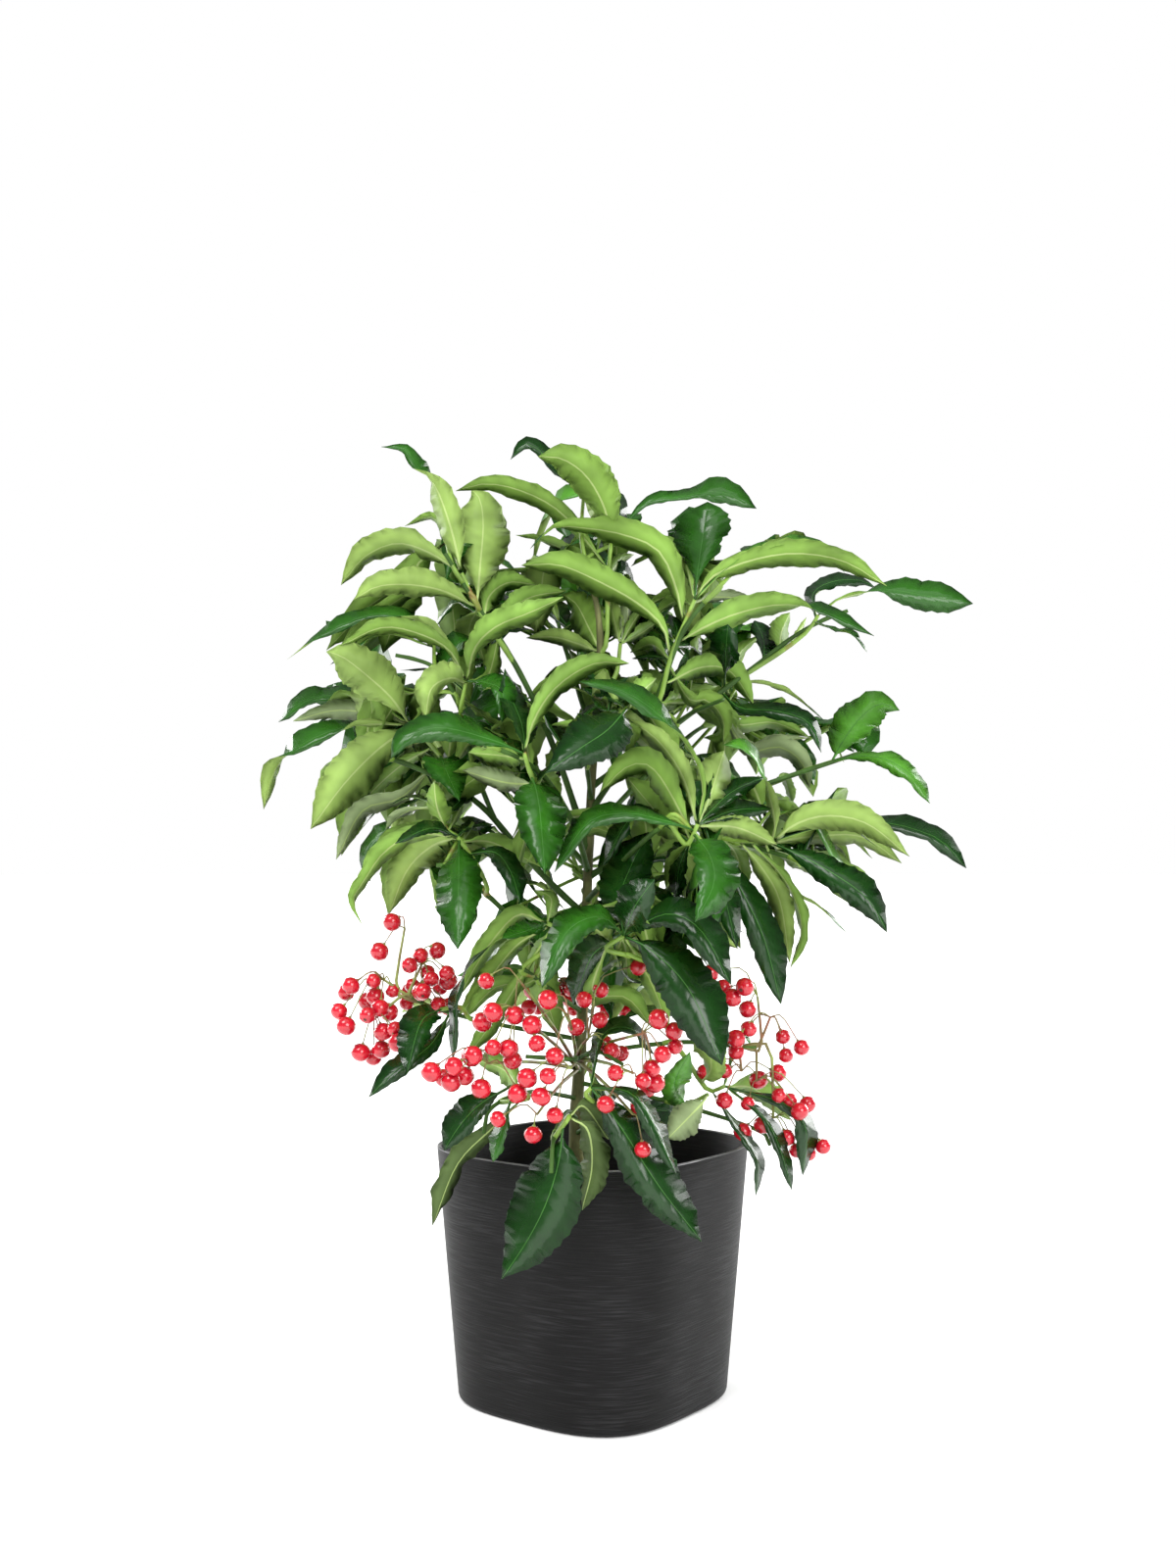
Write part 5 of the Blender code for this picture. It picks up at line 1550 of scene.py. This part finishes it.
class BERRY_OT_limbs(bpy.types.Operator):
    """Make the stem, the boughs and the green shoots, with the relief of their bark"""

    bl_idname = "berry.limbs"
    bl_label = "Stem and boughs"

    def execute(self, context):
        settings = context.scene.berry_limb
        ways = limb_ways()
        rings = 90
        way = smooth_way(ways["main_stem"], rings)
        radii = []
        for step, place in enumerate(way):
            taper = STEM_BASE_RADIUS + (STEM_TIP_RADIUS - STEM_BASE_RADIUS) * step / (rings - 1)
            flare = FLARE_EXTRA * math.exp(-(place.z - SOIL_TOP) / FLARE_HEIGHT)
            radii.append(taper * SHOWN_LIMB_SHARE + flare)
        stem = Sheaf()
        stem.lay_tube(tube_pattern(20, rings), rings, way, radii, relief=bark_relief(1.0, 0.10, 9))
        bark = Finish("old_bark", settings.bark_colour[:], 0.75)
        colour = settings.bark_colour[:]
        grain = bark.noise(180.0, 5.0, (1.0, 1.0, 0.35))
        bark.drive(
            bark.ramp(grain, (0.35, shade(colour, 0.55)), (0.55, colour), (0.75, shade(colour, 2.0))), "Base Color",
        )
        bark.hold("Specular IOR Level", 0.2)
        bark.bump(grain, 0.0012, 0.7)
        stem.finish("stem_bark", [bark.material], "bark", "main_stem")

        boughs = Sheaf()
        rings = 36
        pattern = tube_pattern(12, rings)
        for number, (name, bough) in enumerate(BOUGHS.items()):
            radii = limb_radii(
                rings, bough.base_radius * SHOWN_LIMB_SHARE, bough.tip_radius * SHOWN_LIMB_SHARE,
            )
            radii[0] *= 1.25
            radii[1] *= 1.12
            boughs.lay_tube(
                pattern, rings, smooth_way(ways[name], rings), radii, relief=bark_relief(number + 3.0, 0.08, 7),
            )
        green = Finish("green_bark", settings.bough_colour[:], 0.55)
        colour = settings.bough_colour[:]
        grain = green.noise(120.0, 4.0, (1.0, 1.0, 0.4))
        green.drive(
            green.ramp(grain, (0.35, shade(colour, 0.6)), (0.6, colour), (0.8, shade(colour, 1.9))), "Base Color",
        )
        green.hold("Specular IOR Level", 0.2)
        green.bump(grain, 0.0006, 0.6)
        boughs.finish("bough_bark", [green.material], "green_bark", *BOUGHS)

        shoots = Sheaf()
        pattern = tube_pattern(SHOOT_SIDES, SHOOT_RINGS)
        for number, shoot in enumerate(SHOOTS.values()):
            radii = limb_radii(SHOOT_RINGS, 0.0014, 0.0010)
            shoots.lay_tube(
                pattern, SHOOT_RINGS, shoot_way(shoot, ways), radii, relief=bark_relief(number + 40.0, 0.06, 5),
            )
        for whorls in grown_crown().values():
            for way, _ in whorls:
                shoots.lay_tube(pattern, SHOOT_RINGS, way, limb_radii(SHOOT_RINGS, 0.0013, 0.0009))
        young = Finish("young_bark", settings.shoot_colour[:], 0.45)
        colour = settings.shoot_colour[:]
        patches = young.noise(70.0, 2.0)
        young.drive(
            young.ramp(patches, (0.35, shade(colour, 0.6)), (0.6, colour), (0.72, (0.20, 0.10, 0.03))), "Base Color",
        )
        young.bump(young.noise(600.0, 2.0), 0.0002, 0.4)
        shoots.finish("shoot_bark", [young.material], "green_bark")
        return {"FINISHED"}


PIECE_OF_BOUGH = {
    "bough_top_left": "leaves_top", "main_stem": "leaves_top", "bough_top_right": "leaves_top",
    "bough_far_right": "leaves_right", "bough_right_tip": "leaves_right", "bough_right_low": "leaves_right",
    "bough_right_front": "leaves_front", "bough_front_low": "leaves_front",
    "bough_centre_front": "leaves_front", "bough_left_front": "leaves_front",
    "bough_left_high": "leaves_left", "bough_left_mid": "leaves_left", "bough_left_low": "leaves_left",
    "bough_left_inner": "leaves_left", "bough_fruit_left": "leaves_left", "bough_fruit_right": "leaves_right",
    "bough_skirt_front": "leaves_skirt", "bough_skirt_front_right": "leaves_skirt",
    "bough_skirt_left": "leaves_skirt", "bough_skirt_right": "leaves_skirt",
}


class BERRY_OT_leaves(bpy.types.Operator):
    """Make the leaves: those that the photograph shows, and those that the growing rule adds"""

    bl_idname = "berry.leaves"
    bl_label = "Leaves"

    def execute(self, context):
        fine = leaf_pattern(FINE_LEAF_RINGS, LEAF_COLUMNS)
        grown = leaf_pattern(GROWN_LEAF_RINGS, LEAF_COLUMNS)
        finishes = leaf_finishes()
        sheaves = {growth.piece: Sheaf() for growth in GROWTH.values()}
        rng = Random(12)
        for bough, leaf, places, tangents, normals in photo_leaves():
            sheaf = sheaves[PIECE_OF_BOUGH[bough]]
            width = leaf.width * BLADE_SCALE
            widest = leaf.widest + rng.uniform(-0.03, 0.03)
            lay_leaf(sheaf, fine, FINE_LEAF_RINGS, places, tangents, normals, width, widest, rng, leaf.dress)
        for mass, whorls in grown_crown().items():
            sheaf = sheaves[GROWTH[mass].piece]
            for leaf in [leaf for _, leaves in whorls for leaf in leaves]:
                *shape, dress = leaf
                lay_leaf(sheaf, grown, GROWN_LEAF_RINGS, *shape, rng, dress)
        for name, sheaf in sheaves.items():
            nodes = [mass for mass, growth in GROWTH.items() if growth.piece == name]
            sheaf.finish(name, finishes, "leaf", *nodes)
        return {"FINISHED"}


def berry_pattern():
    """A ball with a small sunk eye at its lower pole."""
    bm = bmesh.new()
    bmesh.ops.create_uvsphere(bm, u_segments=10, v_segments=7, radius=1.0)
    eye = [face for face in bm.faces if face.calc_center_median().z < -0.90]
    bmesh.ops.inset_region(bm, faces=eye, thickness=0.22, use_even_offset=True)
    for face in eye:
        face.material_index = 1
    for vert in {vert for face in eye for vert in face.verts}:
        vert.co.z += 0.06
    return mesh_of("berry_pattern", bm)


def turned(direction):
    """Two directions that make a frame with a third."""
    side = direction.cross(Vector((0.2, 0.3, 0.9))).normalized()
    return side, direction.cross(side)


def settle_depth(place, placed, radius):
    """Move a berry along the line of sight until it clears those already placed."""
    line = (place - CAMERA_PLACE).normalized()
    for step in range(24):
        shift = 0.0011 * ((step + 1) // 2) * (1 if step % 2 else -1)
        trial = place + line * shift
        if all((trial - other).length > radius + other_radius for other, other_radius in placed):
            return trial
    return place


class BERRY_OT_fruit(bpy.types.Operator):
    """Make the berries, their caps and their stalks"""

    bl_idname = "berry.fruit"
    bl_label = "Fruit"

    def execute(self, context):
        settings = context.scene.berry_fruit
        ways = limb_ways()
        rng = Random(5)
        ball = berry_pattern()
        tube = tube_pattern(STALK_SIDES, STALK_RINGS)
        cap = tube_pattern(5, 3)
        stalks = Sheaf()
        clusters = {bough.carries: Sheaf() for bough in BOUGHS.values() if bough.carries.startswith("berries")}
        placed = []

        def stalk(start, bend, end, radius):
            way = smooth_way([start, bend, end], STALK_RINGS)
            stalks.lay_tube(tube, STALK_RINGS, way, limb_radii(STALK_RINGS, radius, radius * 0.8))

        def berry(mass, hub, centre):
            radius = settings.radius * rng.uniform(0.80, 1.06)
            centre = settle_depth(centre, placed, radius)
            placed.append((centre, radius))
            up = ((hub - centre).normalized() + UP * rng.uniform(0.4, 1.2)).normalized()
            side, other = turned(up)
            squash = rng.uniform(0.90, 0.97)

            def place(co):
                return centre + (side * co.x + other * co.y + up * (co.z * squash)) * radius

            clusters[mass].lay(ball, place)
            top = centre + up * (radius * squash * 0.96)

            def place_cap(co):
                spread = 1.0 - 0.55 * co.z
                return top + (side * co.x + other * co.y) * (0.0011 * spread) + up * (co.z * 0.0012 - 0.0003)

            stalks.lay(cap, place_cap)
            lift = max((hub - top).length * 0.25, 0.002)
            bend = (hub + top) / 2.0 + UP * lift + up * lift * 0.5
            stalk(hub, bend, top + up * 0.0006, settings.stalk_radius)

        for umbel in UMBELS:
            bough = ways[carrier_of(umbel.mass)]
            hub = from_photo(umbel.hub, umbel.depth)
            if umbel.mass in FRUIT_JOINTS:
                joint = nearest_to_pixel(bough, FRUIT_JOINTS[umbel.mass])
                way = smooth_way([joint, joint.lerp(hub, 0.5) + UP * 0.002, hub], STALK_RINGS)
            else:
                way = grow_on(bough, [hub], STALK_RINGS)
            stalks.lay_tube(tube, STALK_RINGS, way, limb_radii(STALK_RINGS, 0.0011, 0.0006))
            for pixel in umbel.berries:
                depth = umbel.depth + rng.uniform(-0.006, 0.006)
                berry(umbel.mass, hub, from_photo(pixel, depth))
        for mass, count in (("berries_back", 9), ("berries_left", 1)):
            middle, half = middle_and_half(mass)
            bough = ways[carrier_of(mass)]
            for number in range(count):
                angle = number * GOLDEN_ANGLE + 0.8
                spread = Vector((math.cos(angle), abs(math.sin(angle)), rng.uniform(-0.3, 0.5)))
                hub = middle + Vector(spread[axis] * half[axis] * 0.55 for axis in range(3))
                way = grow_on(bough, [hub], STALK_RINGS)
                stalks.lay_tube(tube, STALK_RINGS, way, limb_radii(STALK_RINGS, 0.0011, 0.0006))
                for order in range(7):
                    around = order * GOLDEN_ANGLE
                    drop = rng.uniform(-0.9, 0.2)
                    direction = Vector((math.cos(around), math.sin(around), drop)).normalized()
                    centre = hub + direction * rng.uniform(0.010, 0.018)
                    gap = Vector((centre - middle)[axis] / half[axis] for axis in range(3))
                    if gap.length > 1.0:
                        centre = middle + Vector(gap[axis] / gap.length * half[axis] for axis in range(3))
                    berry(mass, hub, centre)
        colour = settings.colour[:]
        skin = Finish("berry_skin", colour, 0.22)
        drift = skin.noise(160.0, 2.0)
        skin.drive(skin.ramp(drift, (0.3, shade(colour, 0.78)), (0.7, shade(colour, 1.15))), "Base Color")
        skin.hold("Coat Weight", 0.65)
        skin.hold("Coat Roughness", 0.06)
        skin.bump(skin.noise(900.0, 2.0), 0.0001, 0.2)
        eye = Finish("berry_eye", settings.eye_colour[:], 0.8)
        eye.bump(eye.noise(900.0, 2.0), 0.0002, 0.5)
        for mass, sheaf in clusters.items():
            sheaf.finish(mass + "_fruit", [skin.material, eye.material], "berry", mass)
        colour = settings.stalk_colour[:]
        stem = Finish("fruit_stalk", colour, 0.5)
        patches = stem.noise(90.0, 2.0)
        stem.drive(
            stem.ramp(patches, (0.35, colour), (0.55, (0.16, 0.12, 0.04)), (0.7, (0.26, 0.08, 0.04))), "Base Color",
        )
        stalks.finish("fruit_stalks", [stem.material], "green_bark")
        return {"FINISHED"}


def add_lamp(name, direction, strength, width):
    """A distant soft lamp that shines from a direction and looks so many degrees wide."""
    data = bpy.data.lights.new(name, "SUN")
    data.energy = strength
    data.angle = math.radians(width)
    lamp = bpy.data.objects.new(name, data)
    bpy.context.scene.collection.objects.link(lamp)
    lamp.rotation_euler = Vector(direction).to_track_quat("Z", "Y").to_euler()


class BERRY_OT_stage(bpy.types.Operator):
    """Make the pale floor, the soft studio light and the camera"""

    bl_idname = "berry.stage"
    bl_label = "Stage"

    def execute(self, context):
        settings = context.scene.berry_stage
        scene = context.scene
        bm = bmesh.new()
        bmesh.ops.create_circle(bm, cap_ends=True, segments=64, radius=60.0)
        mesh = mesh_of("floor", bm)
        finish = Finish("floor_paper", settings.floor_colour[:], 0.9)
        finish.bump(finish.noise(300.0, 2.0), 0.0002, 0.1)
        mesh.materials.append(finish.material)
        floor = bpy.data.objects.new("floor", mesh)
        scene.collection.objects.link(floor)

        world = bpy.data.worlds.new("studio")
        world.use_nodes = True
        tree = world.node_tree
        background = tree.nodes["Background"]
        background.inputs["Color"].default_value = (1.0, 1.0, 1.0, 1.0)
        path = tree.nodes.new("ShaderNodeLightPath")
        mirrored = tree.nodes.new("ShaderNodeMapRange")
        mirrored.inputs["To Min"].default_value = settings.sky_strength
        mirrored.inputs["To Max"].default_value = settings.mirrored_strength
        tree.links.new(path.outputs["Is Glossy Ray"], mirrored.inputs["Value"])
        strength = tree.nodes.new("ShaderNodeMapRange")
        tree.links.new(mirrored.outputs["Result"], strength.inputs["To Min"])
        strength.inputs["To Max"].default_value = 1.0
        tree.links.new(path.outputs["Is Camera Ray"], strength.inputs["Value"])
        tree.links.new(strength.outputs["Result"], background.inputs["Strength"])
        scene.world = world

        add_lamp("key_lamp", (-0.45, -0.60, 1.0), settings.key_strength, 28.0)
        add_lamp("fill_lamp", (0.50, -1.0, 0.45), settings.fill_strength, 30.0)
        add_lamp("top_lamp", (0.15, -0.30, 1.0), settings.top_strength, 45.0)
        add_lamp("left_rim_lamp", (-0.75, 0.65, 0.30), settings.rim_strength, 30.0)
        add_lamp("right_rim_lamp", (0.75, 0.65, 0.30), settings.rim_strength, 30.0)

        data = bpy.data.cameras.new("camera")
        data.sensor_width = SENSOR
        data.lens = FOCAL_PIXELS * SENSOR / PHOTO_HEIGHT
        data.shift_y = (HORIZON_ROW - PHOTO_HEIGHT / 2) / PHOTO_HEIGHT
        data.clip_start = 0.01
        data.dof.use_dof = False
        camera = bpy.data.objects.new("camera", data)
        scene.collection.objects.link(camera)
        camera.location = CAMERA_PLACE
        camera.rotation_euler = (math.pi / 2.0, 0.0, 0.0)
        scene.camera = camera
        scene.view_settings.view_transform = "Standard"
        return {"FINISHED"}


OPERATORS = (
    BERRY_OT_planter, BERRY_OT_soil, BERRY_OT_limbs, BERRY_OT_leaves, BERRY_OT_fruit, BERRY_OT_stage,
)
SETTINGS = {
    "berry_leaf": BerryLeafSettings,
    "berry_fruit": BerryFruitSettings,
    "berry_limb": BerryLimbSettings,
    "berry_planter": BerryPlanterSettings,
    "berry_stage": BerryStageSettings,
}


class BERRY_PT_panel(bpy.types.Panel):
    """Lists the steps that build the potted coral berry, and their settings"""

    bl_idname = "BERRY_PT_panel"
    bl_label = "Potted Coral Berry"
    bl_space_type = "VIEW_3D"
    bl_region_type = "UI"
    bl_category = "Coral Berry"

    def draw(self, context):
        for operator in OPERATORS:
            self.layout.operator(operator.bl_idname)
        for name in SETTINGS:
            group = getattr(context.scene, name)
            box = self.layout.box()
            for field in group.__annotations__:
                box.prop(group, field)


def register():
    for kind in (*SETTINGS.values(), *OPERATORS, BERRY_PT_panel):
        bpy.utils.register_class(kind)
    for name, kind in SETTINGS.items():
        setattr(bpy.types.Scene, name, bpy.props.PointerProperty(type=kind))


def unregister():
    for name in SETTINGS:
        delattr(bpy.types.Scene, name)
    for kind in reversed((*SETTINGS.values(), *OPERATORS, BERRY_PT_panel)):
        bpy.utils.unregister_class(kind)


def main():
    register()
    bpy.ops.berry.planter()
    bpy.ops.berry.soil()
    bpy.ops.berry.limbs()
    bpy.ops.berry.leaves()
    bpy.ops.berry.fruit()
    bpy.ops.berry.stage()


if __name__ == "__main__":
    main()
